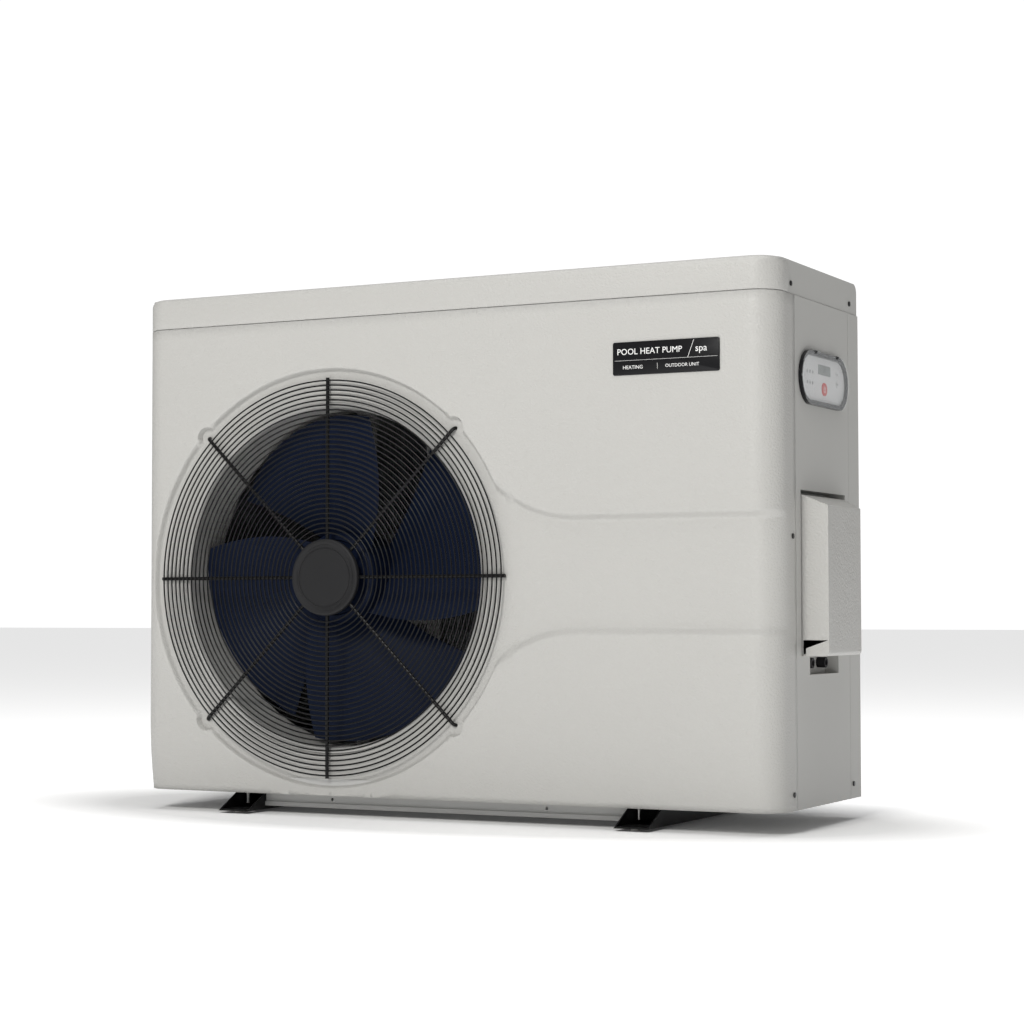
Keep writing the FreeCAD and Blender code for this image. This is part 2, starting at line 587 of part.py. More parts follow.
def make_fan():
    """Hub and four wide sickle blades; the shaft, its nut and the motor that turns them."""
    sweep = Part.makeCylinder(d.blade_tip, 200, Vector(d.fan_x, d.hub_front - 60, d.fan_z), Vector(0, 1, 0))
    blades = []
    for quarter in range(4):
        sections = []
        for share in (0.0, 0.25, 0.5, 0.75, 1.0):
            radius = d.hub_radius - 12 + (d.blade_tip - d.hub_radius + 20) * share
            middle = 80 - 90 * quarter + 26 * share - 44 * share * share
            half_width = 34 + 62 * share - 8 * share * share
            sections.append(blade_section(radius, middle, half_width, -4 * share))
        blades.append(Part.makeLoft(sections, True, False).common(sweep))
    centre = Vector(d.fan_x, d.hub_front, d.fan_z)
    along = Vector(0, 1, 0)
    hub = Part.makeCylinder(d.hub_radius, d.hub_depth, centre, along)
    hub = hub.cut(Part.makeCylinder(d.hub_radius - 4, d.hub_depth - 6, centre + Vector(0, 6, 0), along))
    boss = Part.makeCylinder(16, 40, centre, along)
    bore = Part.makeCylinder(d.shaft_radius, 60, centre - Vector(0, 5, 0), along)
    impeller = hub.fuse([boss] + blades).cut(bore)
    cavity = Part.makeCylinder(d.hub_radius - 4, d.hub_depth - 6, centre + Vector(0, 6, 0), along)
    cavity = cavity.cut(boss)
    impeller = impeller.cut(cavity)
    sub_part("fan_impeller", shape("impeller_shape", impeller))

    sub_part("motor_shaft", rod("shaft", "shaft_radius", 130, "fan_x", "hub_front - 10", "fan_z", "Y"))
    nut = Part.makeCylinder(11, 7, centre - Vector(0, 7, 0), along)
    nut = nut.cut(Part.makeCylinder(d.shaft_radius, 7, centre - Vector(0, 7, 0), along))
    sub_part("fan_nut", shape("fan_nut_shape", nut))

    body = rod("motor_body", "motor_radius", "motor_length", "fan_x", "motor_front", "fan_z", "Y")
    hollow = rod("motor_bore", "shaft_radius + shaft_clearance", "hub_front + 130 - motor_front + 2", "fan_x",
                 "motor_front - 1", "fan_z", "Y")
    sub_part("fan_motor", cut("motor_cut", body, hollow))


def make_motor_bracket():
    """Two upright rails from the base pan to the lid, joined by a plate that carries the motor."""
    back = d.motor_front + d.motor_length
    rails = []
    for offset in (-58, 58):
        rail = Part.makeBox(22, 18, d.seam_height - d.panel_bottom - 8,
                            Vector(d.fan_x + offset - 11, back + 3, d.panel_bottom + 2.2))
        groove = Part.makeBox(18, 18, d.seam_height - d.panel_bottom - 8,
                              Vector(d.fan_x + offset - 9, back + 5, d.panel_bottom + 2.2))
        rails.append(rail.cut(groove))
    plate = Part.makeBox(138, 3, 128, Vector(d.fan_x - 69, back, d.fan_z - 64))
    sub_part("motor_bracket", shape("bracket_shape", plate.fuse(rails).removeSplitter()))


def make_evaporator():
    """The L-shaped fin pack behind and beside the fan, and the return bends at its right-hand end."""
    left, right = d.cabinet_left + 22, d.partition_x - 26
    height = d.coil_top - d.coil_bottom
    back = box("fins_back", left, "coil_front", "coil_bottom", right - left, "coil_depth", height)
    side = box("fins_side", left, -60, "coil_bottom", "coil_depth", "coil_front + 60", height)
    sub_part("evaporator_fins", fuse("fins_both", [back, side]))
    bends = []
    count = 14
    bend, wall = 10.5, 4
    angles = [math.radians(45 * k + 22.5) for k in range(9)]
    section = Part.makePolygon([Vector(right, wall * math.sin(a), bend + wall * math.cos(a)) for a in angles])
    for step in range(count):
        z = d.coil_bottom + 20 + (height - 62) * step / (count - 1)
        for y in (d.coil_front + 9, d.coil_front + 26):
            half = Part.Face(section).revolve(Vector(right, 0, 0), Vector(0, 1, 0), 180)
            half.translate(Vector(0, y, z + bend))
            bends.append(half)
    sub_part("evaporator_bends", shape("bends_shape", bends))


# ---------------------------------------------------------------- refrigerant and water side

def make_compressor():
    x, y, radius = d.compressor_x, d.compressor_y, d.compressor_radius
    floor = d.panel_bottom + 2.1
    foot_z = floor + 14
    shell = Part.makeCylinder(radius, 210, Vector(x, y, foot_z + 3))
    shell = shell.makeFillet(18, [e for e in shell.Edges if abs(e.BoundBox.ZMin - foot_z - 213) < 0.01])
    base = Part.makeCylinder(radius + 17, 3, Vector(x, y, foot_z))
    stub = Part.makeCylinder(6, 14, Vector(x, y, foot_z + 211))
    body = shell.fuse([base, stub])
    mounts = []
    for degrees in (90, 210, 330):
        angle = math.radians(degrees)
        spot = Vector(x + (radius + 10) * math.cos(angle), y + (radius + 10) * math.sin(angle), floor)
        body = body.cut(Part.makeCylinder(4, 10, spot + Vector(0, 0, 12)))
        rubber = Part.makeCylinder(9, 14, spot).fuse(Part.makeCylinder(3.9, 17, spot))
        mounts.append(rubber.fuse(Part.makeCylinder(6, 3, spot + Vector(0, 0, 17))).removeSplitter())
    sub_part("compressor", shape("compressor_shape", body.removeSplitter()))
    sub_part("compressor_grommets", shape("grommets_shape", mounts))

    can_x, can_y = x - 45, y + 78
    can = Part.makeCylinder(22, 150, Vector(can_x, can_y, 90))
    can = can.fuse(Part.makeCylinder(6, 20, Vector(can_x, can_y, 240)))
    can = can.fuse(Part.makeCylinder(5, 12, Vector(can_x, can_y, 80)))
    sub_part("suction_accumulator", shape("accumulator_shape", can))

    valve_z = 400
    barrel = Part.makeCylinder(13, 90, Vector(x - 45, y, valve_z), Vector(1, 0, 0))
    stubs = [Part.makeCylinder(6, 28, Vector(x + offset, y, valve_z)) for offset in (-26, 0, 26)]
    stubs.append(Part.makeCylinder(6, 28, Vector(x, y, valve_z - 28)))
    pilot = Part.makeCylinder(8, 36, Vector(x - 18, y + 24, valve_z), Vector(1, 0, 0))
    link = Part.makeBox(12, 18, 6, Vector(x - 6, y + 8, valve_z - 3))
    valve = barrel.fuse(stubs + [pilot, link])
    sub_part("four_way_valve", shape("four_way_shape", valve.removeSplitter()))

    expansion_x, expansion_y, expansion_z = x - 48, d.pass_y, d.liquid_z
    body = Part.makeCylinder(11, 34, Vector(expansion_x, expansion_y, expansion_z - 30))
    head = Part.makeCylinder(18, 26, Vector(expansion_x, expansion_y, expansion_z + 4))
    inlet = Part.makeCylinder(5, 14, Vector(expansion_x, expansion_y, expansion_z - 44))
    outlet = Part.makeCylinder(3.5, expansion_x - d.partition_x + 26, Vector(expansion_x, expansion_y, expansion_z),
                               Vector(-1, 0, 0))
    expansion = body.fuse([head, inlet, outlet])
    sub_part("expansion_valve", shape("expansion_shape", expansion.removeSplitter()))

    discharge = Part.makeCylinder(6, valve_z - 28 - foot_z - 225, Vector(x, y, foot_z + 225))
    sub_part("discharge_pipe", shape("discharge_shape", discharge))
    top = valve_z + 28
    suction = route([(x, y, top), (x, y, 505), (can_x, can_y, 505), (can_x, can_y, 260)], 6, 18)
    sub_part("suction_pipe", shape("suction_shape", suction))
    liquid = route([(d.union_x - d.exchanger_radius - 0.1, d.exchanger_y, 74), (expansion_x, d.exchanger_y, 74),
                    (expansion_x, expansion_y, 74), (expansion_x, expansion_y, expansion_z - 44)], 5, 16)
    sub_part("liquid_pipe", shape("liquid_shape", liquid))
    toward = (Vector(d.union_x, d.exchanger_y, 480) - Vector(x + 26, y, 480)).normalize()
    entry = Vector(d.union_x, d.exchanger_y, 480) - toward * (d.exchanger_radius + 0.1)
    gas = route([(x + 26, y, top), (x + 26, y, 480), tuple(entry)], 6, 16)
    sub_part("hot_gas_pipe", shape("hot_gas_shape", gas))
    coil_gas = route([(x - 26, y, top), (x - 26, y, d.gas_z), (x - 61, y, d.gas_z), (x - 61, expansion_y, d.gas_z),
                      (d.partition_x - 26, expansion_y, d.gas_z)], 6, 14)
    sub_part("coil_gas_pipe", shape("coil_gas_shape", coil_gas))


def make_exchanger():
    """Upright plastic shell with end caps and two side ports; a titanium coil inside."""
    x, y, radius = d.union_x, d.exchanger_y, d.exchanger_radius
    low, high = 52, 520
    outside = Part.makeCylinder(radius, high - low, Vector(x, y, low))
    caps = [Part.makeCylinder(radius + 4, 14, Vector(x, y, z)) for z in (low, high - 14)]
    port_end = d.cabinet_rear - 20
    ports = [Part.makeCylinder(20, port_end - y, Vector(x, y, z), Vector(0, 1, 0)) for z in (d.inlet_z, d.outlet_z)]
    legs = Part.makeCylinder(radius - 20, low - d.panel_bottom - 2.1, Vector(x, y, d.panel_bottom + 2.1))
    body = outside.fuse(caps + ports + [legs])
    hollow = Part.makeCylinder(radius - 4, high - low - 8, Vector(x, y, low + 4))
    bores = [Part.makeCylinder(d.pipe_radius, port_end - y + 1, Vector(x, y, z), Vector(0, 1, 0))
             for z in (d.inlet_z, d.outlet_z)]
    axle = Part.makeCylinder(1.3, 27, Vector(x - 13.5, d.cabinet_rear - 45, d.inlet_z + 11.5), Vector(1, 0, 0))
    throat = Part.makeCylinder(4, 12, Vector(x, d.cabinet_rear - 45, d.inlet_z + 12))
    sub_part("exchanger_shell", shape("exchanger_shape", body.cut(Part.makeCompound([hollow, axle, throat] + bores))))

    turn, climb = 44, 38
    helix = Part.makeHelix(climb, 380, turn)
    rise = math.atan2(climb, 2 * math.pi * turn)
    angles = [math.radians(60 * k) for k in range(7)]
    ring = Part.makePolygon([Vector(turn + 7 * math.cos(a), -7 * math.sin(a) * math.sin(rise),
                                    7 * math.sin(a) * math.cos(rise)) for a in angles])
    coil = Part.Wire(helix.Edges).makePipeShell([ring], True, True)
    coil.translate(Vector(x, y, low + 40))
    sub_part("titanium_coil", shape("coil_shape", coil))


def make_water_unions():
    """At the rear, for inlet and outlet: a fitting through the panel, a ribbed nut and a pipe socket."""
    rear = d.cabinet_rear
    along = Vector(0, 1, 0)
    nuts, sockets, tails = [], [], []
    for z in (d.inlet_z, d.outlet_z):
        at = lambda y: Vector(d.union_x, y, z)
        tail = Part.makeCylinder(24, 38, at(rear - 20), along)
        tail = tail.fuse(Part.makeCylinder(33, 6, at(rear), along))
        tail = tail.cut(Part.makeCylinder(d.pipe_radius, 40, at(rear - 21), along))
        tails.append(tail)
        socket = Part.makeCylinder(30, 36, at(rear + 18), along)
        socket = socket.fuse(Part.makeCylinder(33, 5, at(rear + 18), along))
        socket = socket.cut(Part.makeCylinder(d.socket_bore, d.socket_depth, at(rear + 24), along))
        sockets.append(socket.cut(Part.makeCylinder(d.pipe_radius, 10, at(rear + 17), along)))
        nut = Part.makeCylinder(39, 22, at(rear + 7), along)
        ribs = [Part.makeBox(4, 22, 3, Vector(-2, 0, 37.8)) for _ in range(12)]
        for step, rib in enumerate(ribs):
            rib.rotate(Vector(), along, 30 * step)
            rib.translate(at(rear + 7))
        nut = nut.fuse(ribs)
        nut = nut.cut(Part.makeCylinder(24.2, 11.1, at(rear + 6.9), along))
        nut = nut.cut(Part.makeCylinder(33.2, 5.2, at(rear + 17.9), along))
        nuts.append(nut.cut(Part.makeCylinder(30.2, 20, at(rear + 20), along)))
    sub_part("union_tails", shape("tails_shape", tails))
    sub_part("union_sockets", shape("sockets_shape", sockets))
    sub_part("union_nuts", shape("nuts_union_shape", nuts))


def make_flow_switch():
    """A head on the inlet port; its paddle hangs into the water."""
    y = d.cabinet_rear - 45
    z = d.inlet_z + 20
    head = Part.makeCylinder(11, 16, Vector(d.union_x, y, z))
    head = head.fuse(Part.makeBox(30, 26, 34, Vector(d.union_x - 15, y - 13, z + 16)))
    sub_part("flow_switch", shape("flow_switch_shape", head.removeSplitter()))
    hang = d.inlet_z + 13
    paddle = Part.makeBox(6, 0.8, 20, Vector(d.union_x - 3, y - 0.4, hang - 22))
    paddle = paddle.fuse(Part.makeCylinder(1.2, 26, Vector(d.union_x - 13, y, hang - 1.5), Vector(1, 0, 0)))
    sub_part("flow_paddle", shape("flow_paddle_shape", paddle.removeSplitter()))


def make_electrics():
    left, right = d.partition_x + 12, d.cabinet_right - 42
    tray = Part.makeBox(right - left, 262, 112, Vector(left, -148, 545))
    tray = tray.cut(Part.makeBox(right - left - 3, 259, 112, Vector(left + 1.5, -146.5, 546.5)))
    tray = tray.cut(Part.makeBox(10, 160, 44, Vector(left - 5, -80, 556)))
    sub_part("control_box", shape("control_box_shape", tray))
    board = Part.makeBox(right - left - 24, 236, 1.6, Vector(left + 12, -135, 554))
    chips = [Part.makeCylinder(9, 30, Vector(left + 60 + 26 * step, -80, 555.6)) for step in range(4)]
    chips += [Part.makeBox(36, 30, 24, Vector(left + 60, 20, 555.6)), Part.makeBox(60, 40, 8, Vector(left + 120, 10, 555.6))]
    sub_part("control_board", shape("control_board_shape", board.fuse(chips).removeSplitter()))
    base = Part.makeBox(5, 176, 56, Vector(left - 5, -88, 550))
    fins = [Part.makeBox(39, 2, 56, Vector(left - 44, -88 + 12.4 * step, 550)) for step in range(15)]
    sub_part("heat_sink", shape("heat_sink_shape", base.fuse(fins).removeSplitter()))


# ---------------------------------------------------------------- junction box and display

GLAND_Y = (-18, 32)
GLAND_Z = 211.5


def make_junction():
    right = d.cabinet_right
    depth, gauge = d.tray_depth, d.sheet_gauge
    face = right - 2.1
    low, high = d.box_bottom, d.tray_top
    room = Part.makeBox(depth, d.tray_rear - d.tray_front, high - low, Vector(face - depth, d.tray_front, low))
    slot_depth = 16
    slot_room = Part.makeBox(slot_depth, d.slot_rear - d.slot_front, low - d.slot_bottom + 4,
                             Vector(face - slot_depth, d.slot_front, d.slot_bottom))
    around_room = Part.makeBox(depth + gauge, d.tray_rear - d.tray_front + 2 * gauge, high - low + 2 * gauge,
                               Vector(face - depth - gauge, d.tray_front - gauge, low - gauge))
    around_slot = Part.makeBox(slot_depth + gauge, d.slot_rear - d.slot_front + 2 * gauge, low - d.slot_bottom + gauge,
                               Vector(face - slot_depth - gauge, d.slot_front - gauge, d.slot_bottom - gauge))
    tray = around_room.fuse(around_slot).cut(room.fuse(slot_room))
    wall_back = face - slot_depth - gauge
    for y in GLAND_Y:
        tray = tray.cut(Part.makeCylinder(6.1, gauge + 2, Vector(wall_back - 1, y, GLAND_Z), Vector(1, 0, 0)))
    sub_part("junction_tray", shape("tray_shape", tray.removeSplitter()))

    def cover_block(inset):
        """The cover's outer form, drawn in by a wall's thickness; it stays open towards the cabinet."""
        near = face - depth - inset
        far = right + d.box_proud - inset
        plan = [(near, d.box_front + inset), (far, d.box_front + inset), (far, d.box_flat_rear - inset * 0.4),
                (right + 0.1, d.box_rear - inset * 1.4), (near, d.box_rear - inset * 1.4)]
        plan_wire = Part.makePolygon([Vector(a, b, low) for a, b in plan + plan[:1]])
        block = Part.Face(plan_wire).extrude(Vector(0, 0, d.box_top - low))
        bottom, rim = low + inset, 6 - min(inset, 4)
        top = d.box_top - inset
        points = [Vector(near, d.box_front - 5, bottom), Vector(far - rim, d.box_front - 5, bottom),
                  Vector(far, d.box_front - 5, bottom + rim), Vector(far, d.box_front - 5, top - d.box_slope),
                  Vector(right, d.box_front - 5, top), Vector(near, d.box_front - 5, top)]
        bulge = Vector(far - rim + rim * math.sin(math.pi / 4), d.box_front - 5,
                       bottom + rim - rim * math.cos(math.pi / 4))
        edges = [Part.LineSegment(a, b).toShape()
                 for a, b in zip(points, points[1:] + points[:1]) if a != points[1]]
        edges.insert(1, Part.Arc(points[1], bulge, points[2]).toShape())
        side = Part.Face(Part.Wire(edges)).extrude(Vector(0, 200, 0))
        return block.common(side)

    cover = cover_block(0).cut(cover_block(d.box_wall))
    far = right + d.box_proud
    notch = Part.makePolygon([Vector(a, d.box_front - 1, b) for a, b in (
        (right, low - 1), (right + 3.8, low - 1), (right + 3.8, low + 10), (far - 1.2, low + 20.4),
        (right, low + 20.4), (right, low - 1))])
    cover = cover.cut(Part.Face(notch).extrude(Vector(0, d.box_wall + 1.1, 0)))
    sub_part("junction_cover", shape("cover_shape", cover))

    block = Part.makeBox(16, 110, 24, Vector(face - depth, -50, 320))
    for step in range(6):
        block = block.cut(Part.makeBox(8, 2, 26, Vector(face - depth + 9, -50 + 15.7 * (step + 1), 319)))
    sub_part("terminal_block", shape("terminal_shape", block))
    glands = []
    for y in GLAND_Y:
        at = lambda x: Vector(x, y, GLAND_Z)
        gland = Part.makeCylinder(6, 21.5, at(wall_back - 8), Vector(1, 0, 0))
        gland = gland.fuse(Part.makeCylinder(8, 4, at(wall_back - 4), Vector(1, 0, 0)))
        gland = gland.fuse(Part.makeCylinder(6.9, 12, at(face - slot_depth), Vector(1, 0, 0)))
        glands.append(gland.cut(Part.makeCylinder(4, 30, at(wall_back - 12), Vector(1, 0, 0))))
    sub_part("cable_glands", shape("glands_shape", glands))


def side_plate(name, x, thickness, outline):
    """A plate on the service side: an outline in (y, z) padded along +X from x."""
    return place(profile_body(name, "YZ_Plane", outline, thickness), x=x)


def ring_plate(name, x, thickness, outer, inner):
    return cut(name, side_plate(name + "_outer", x, thickness, outer),
               side_plate(name + "_inner", f"{x} - 1", f"{thickness} + 2", inner))


BUTTONS = {"power_button": (12, 567.0, 10.0, 8.4), "up_button": (61, 591, 4.0, 3.4), "down_button": (61, 577, 4.0, 3.4)}


def button_outline(y, z, half_y, half_z):
    """A round-ended button outline, wider than high."""
    return stadium(y, z, 2 * half_y, 2 * half_z)


def make_display():
    y, z = d.display_y, d.display_z
    outer = stadium(y, z, d.display_length, d.display_height)
    neck = stadium(y, z, d.display_length - 3.4, d.display_height - 3.4)
    window = stadium(y, z, d.face_length, d.face_height)
    out = ring_plate("housing_rim", "cabinet_right", "display_proud", outer, window)
    inner = ring_plate("housing_neck", "cabinet_right - 12", 12, neck, window)
    sub_part("display_housing", fuse("housing_both", [out, inner]))

    ring = ring_plate("bezel_ring", "cabinet_right + display_proud", "bezel_gauge", outer, window)
    top = d.display_z + d.display_height / 2
    pin_x = d.cabinet_right + d.display_proud + d.bezel_gauge + d.flap_gap + d.flap_gauge / 2
    pin_z = top - d.hinge_drop
    doc.recompute()
    along = Vector(0, 1, 0)
    half = 1.2
    lugs, pins = [], []
    barrel_starts = (y - 35.7, y + 24.2)
    lug_starts = (y - 46, y + 36)
    for start, pin_start in zip(lug_starts, (y - 46, y + 24)):
        lugs.append(Part.makeBox(pin_x - d.cabinet_right - d.display_proud + half, 10, 2 * half,
                                 Vector(d.cabinet_right + d.display_proud, start, pin_z - half)))
        pins.append(Part.makeCylinder(0.7, 22, Vector(pin_x, pin_start, pin_z), along))
    frame = ring.Shape
    for start in barrel_starts:
        frame = frame.cut(Part.makeCylinder(1.6, 12.1, Vector(pin_x, start - 0.3, pin_z), along))
    sub_part("display_bezel", shape("bezel_shape", frame.fuse(lugs + pins).removeSplitter()))

    glass_x = pin_x - d.flap_gauge / 2
    glass = side_plate("flap_glass", glass_x, "flap_gauge", outer)
    doc.recompute()
    flap = glass.Shape.cut(Part.makeBox(6, d.display_length + 20, 20,
                                        Vector(glass_x - 2, y - d.display_length / 2 - 10, pin_z + 0.4)))
    for start in lug_starts:
        flap = flap.cut(Part.makeBox(6, 10.8, 20, Vector(glass_x - 2, start - 0.4, pin_z - 2.6)))
    flap = flap.fuse([Part.makeCylinder(1.25, 11.5, Vector(pin_x, start, pin_z), along) for start in barrel_starts])
    flap = flap.cut(Part.makeCompound([Part.makeCylinder(0.75, 23, Vector(pin_x, start, pin_z), along)
                                       for start in (y - 46.5, y + 23.7)]))
    for end in (-1, 1):
        middle = y + end * (d.display_length / 2 + 0.8)
        flap = flap.fuse(Part.makeBox(2.4, 2.4, 3.6, Vector(glass_x, middle - 1.2, z - 1.8)))
    sub_part("display_flap", shape("flap_shape", flap.removeSplitter()))

    plate = side_plate("face_plate", "cabinet_right - 1", 2, stadium(y, z, d.face_length - 0.2, d.face_height - 0.2))
    doc.recompute()
    face = plate.Shape
    for label, (button_y, button_z, half_y, half_z) in BUTTONS.items():
        hole = side_plate(label + "_hole", "cabinet_right - 3", 6,
                          button_outline(button_y, button_z, half_y + 0.3, half_z + 0.3))
        cap = side_plate(label + "_cap", "cabinet_right - 2.4", 4.2,
                         button_outline(button_y, button_z, half_y, half_z))
        doc.recompute()
        face = face.cut(hole.Shape)
        sub_part(label, shape(label + "_shape", cap.Shape))
    lcd = Part.makeBox(0.8, 45, 13, Vector(d.cabinet_right + 1, -11, 585))
    sub_part("display_lcd", shape("lcd_shape", lcd))
    sub_part("display_face", shape("face_shape", face))


make_front_panel()
make_lid()
make_side_panels()
make_base()
make_foot("left_foot", -1)
make_foot("right_foot", 1)
make_foot_trim()
make_coil_guard()
make_partition()
make_name_plate()
make_screws()
make_shroud()
make_guard()
make_fan()
make_motor_bracket()
make_evaporator()
make_compressor()
make_exchanger()
make_water_unions()
make_flow_switch()
make_electrics()
make_junction()
make_display()
doc.recompute()

for thing in doc.Objects:
    bad = [word for word in thing.State if word in ("Invalid", "Error")]
    if bad:
        print("failed object:", thing.Name, thing.Label, bad)
        sys.exit(1)

os.makedirs("parts", exist_ok=True)
for label, thing in finished.items():
    if thing.Shape.isNull() or not thing.Shape.isValid() or not thing.Shape.Solids:
        print("bad shape:", label)
        sys.exit(1)
    thing.Shape.exportStep(os.path.join("parts", label + ".step"))
print(len(finished), "sub-parts written")
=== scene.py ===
import json
import math

import bmesh
import bpy
import numpy as np
from mathutils import Matrix, Vector
from mathutils.geometry import delaunay_2d_cdt


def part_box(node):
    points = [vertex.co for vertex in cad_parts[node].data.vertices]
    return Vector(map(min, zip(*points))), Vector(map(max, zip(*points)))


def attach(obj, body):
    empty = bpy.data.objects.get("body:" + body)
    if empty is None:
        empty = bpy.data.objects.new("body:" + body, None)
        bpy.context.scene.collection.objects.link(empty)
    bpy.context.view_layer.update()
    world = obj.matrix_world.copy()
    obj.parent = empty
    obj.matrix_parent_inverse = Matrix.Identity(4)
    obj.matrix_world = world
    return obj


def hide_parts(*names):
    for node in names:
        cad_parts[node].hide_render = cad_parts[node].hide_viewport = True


# Outdoor pool heat pump: the visible surfaces, finishes, lights and camera.
# Lengths in the functions below are millimetres; MM turns them into metres when a mesh is made.

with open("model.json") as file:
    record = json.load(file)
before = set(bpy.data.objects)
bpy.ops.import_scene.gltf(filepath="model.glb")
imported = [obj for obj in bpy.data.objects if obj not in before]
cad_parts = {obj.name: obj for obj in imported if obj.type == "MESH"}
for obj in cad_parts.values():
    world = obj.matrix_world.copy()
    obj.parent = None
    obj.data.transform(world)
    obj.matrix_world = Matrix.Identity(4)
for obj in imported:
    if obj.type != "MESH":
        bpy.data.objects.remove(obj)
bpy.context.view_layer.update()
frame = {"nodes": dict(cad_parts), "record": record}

MM = 0.001
nodes = frame["nodes"]


# ---------------------------------------------------------------- shader maths

def feed(tree, slot, value):
    """Sets a shader input: a link from a socket, or a plain value."""
    if isinstance(value, Sock):
        tree.links.new(value.out, slot)
    else:
        slot.default_value = value


class Sock:
    """A shader socket that Python's operators work on; each operation adds a Math node."""

    def __init__(self, tree, out):
        self.tree, self.out = tree, out

    def math(self, operation, *others):
        node = self.tree.nodes.new("ShaderNodeMath")
        node.operation = operation
        for slot, value in zip(node.inputs, (self,) + others):
            feed(self.tree, slot, value)
        return Sock(self.tree, node.outputs[0])

    def __add__(self, other):
        return self.math("ADD", other)

    def __mul__(self, other):
        return self.math("MULTIPLY", other)

    def __sub__(self, other):
        return self.math("SUBTRACT", other)

    def __truediv__(self, other):
        return self.math("DIVIDE", other)

    def above(self, edge, width):
        """0 below edge, 1 a width above it, straight between."""
        share = (self - edge) / width
        return share.math("MINIMUM", 1.0).math("MAXIMUM", 0.0)


class Finish:
    """A material under construction: one Principled shader and the nodes that feed it."""

    def __init__(self, name):
        self.material = bpy.data.materials.new(name)
        self.material.use_nodes = True
        self.tree = self.material.node_tree
        self.shader = self.tree.nodes["Principled BSDF"]

    def node(self, kind, settings=None, output=0, **values):
        made = self.tree.nodes.new(kind)
        for key, value in (settings or {}).items():
            setattr(made, key, value)
        for key, value in values.items():
            feed(self.tree, made.inputs[key.replace("_", " ")], value)
        return Sock(self.tree, made.outputs[output])

    def place(self):
        """The point on the piece, in metres in its own frame."""
        return self.node("ShaderNodeTexCoord", output=3)

    def noise(self, scale, detail, roughness):
        return self.node("ShaderNodeTexNoise", Vector=self.place(), Scale=scale, Detail=detail,
                         Roughness=roughness)

    def mix(self, share, first, second):
        made = self.tree.nodes.new("ShaderNodeMix")
        made.data_type = "RGBA"
        slots = [s for s in made.inputs if s.enabled]
        for slot, value in zip(slots, (share, first, second)):
            feed(self.tree, slot, value)
        return Sock(self.tree, [s for s in made.outputs if s.enabled][0])

    def set(self, **values):
        for key, value in values.items():
            feed(self.tree, self.shader.inputs[key.replace("_", " ")], value)
        return self

    def bump(self, height, distance, strength):
        normal = self.node("ShaderNodeBump", Height=height, Distance=distance, Strength=strength)
        return self.set(Normal=normal)


def rgb(red, green, blue):
    return (red, green, blue, 1.0)


def mottled(name, colour, roughness, spread, scale, metallic=0.0):
    """A finish whose colour and gloss drift a little, as on any moulded or painted part."""
    finish = Finish(name)
    drift = finish.noise(scale, 4.0, 0.55)
    dark = rgb(*[c * (1 - spread) for c in colour])
    light = rgb(*[min(1, c * (1 + spread)) for c in colour])
    finish.set(Base_Color=finish.mix(drift, dark, light), Metallic=metallic)
    finish.set(Roughness=drift * 0.10 + (roughness - 0.05))
    return finish


CASING = (0.455, 0.450, 0.432)


def casing_textured():
    """Moulded light grey skin with fine orange peel."""
    finish = mottled("casing_textured", CASING, 0.40, 0.015, 6.0)
    peel = finish.noise(330.0, 2.0, 0.5)
    grain = finish.noise(900.0, 1.0, 0.5)
    return finish.bump(peel + grain * 0.3, 0.0012, 0.75).material


def casing_smooth():
    finish = mottled("casing_smooth", (0.44, 0.437, 0.42), 0.46, 0.015, 6.0)
    return finish.bump(finish.noise(600.0, 1.0, 0.5), 0.0002, 0.15).material


def coated_steel(name, colour, roughness, sheen=0.5):
    finish = mottled(name, colour, roughness, 0.05, 14.0)
    finish.set(Specular_IOR_Level=sheen)
    return finish.bump(finish.noise(260.0, 3.0, 0.6), 0.0003, 0.3).material


def dark_moulding(name, colour, roughness, sheen=0.25):
    finish = mottled(name, colour, roughness, 0.10, 20.0)
    finish.set(Specular_IOR_Level=sheen)
    return finish.bump(finish.noise(1500.0, 2.0, 0.5), 0.0002, 0.25).material


def rubber(name, colour):
    finish = mottled(name, colour, 0.72, 0.06, 30.0)
    return finish.bump(finish.noise(800.0, 2.0, 0.5), 0.0003, 0.3).material


def clear_cover():
    """Thin clear polycarbonate with a faint gloss."""
    finish = Finish("clear_cover")
    finish.set(Base_Color=rgb(0.92, 0.94, 0.95), Roughness=0.06, Alpha=0.13)
    finish.material.surface_render_method = "BLENDED"
    return finish.material


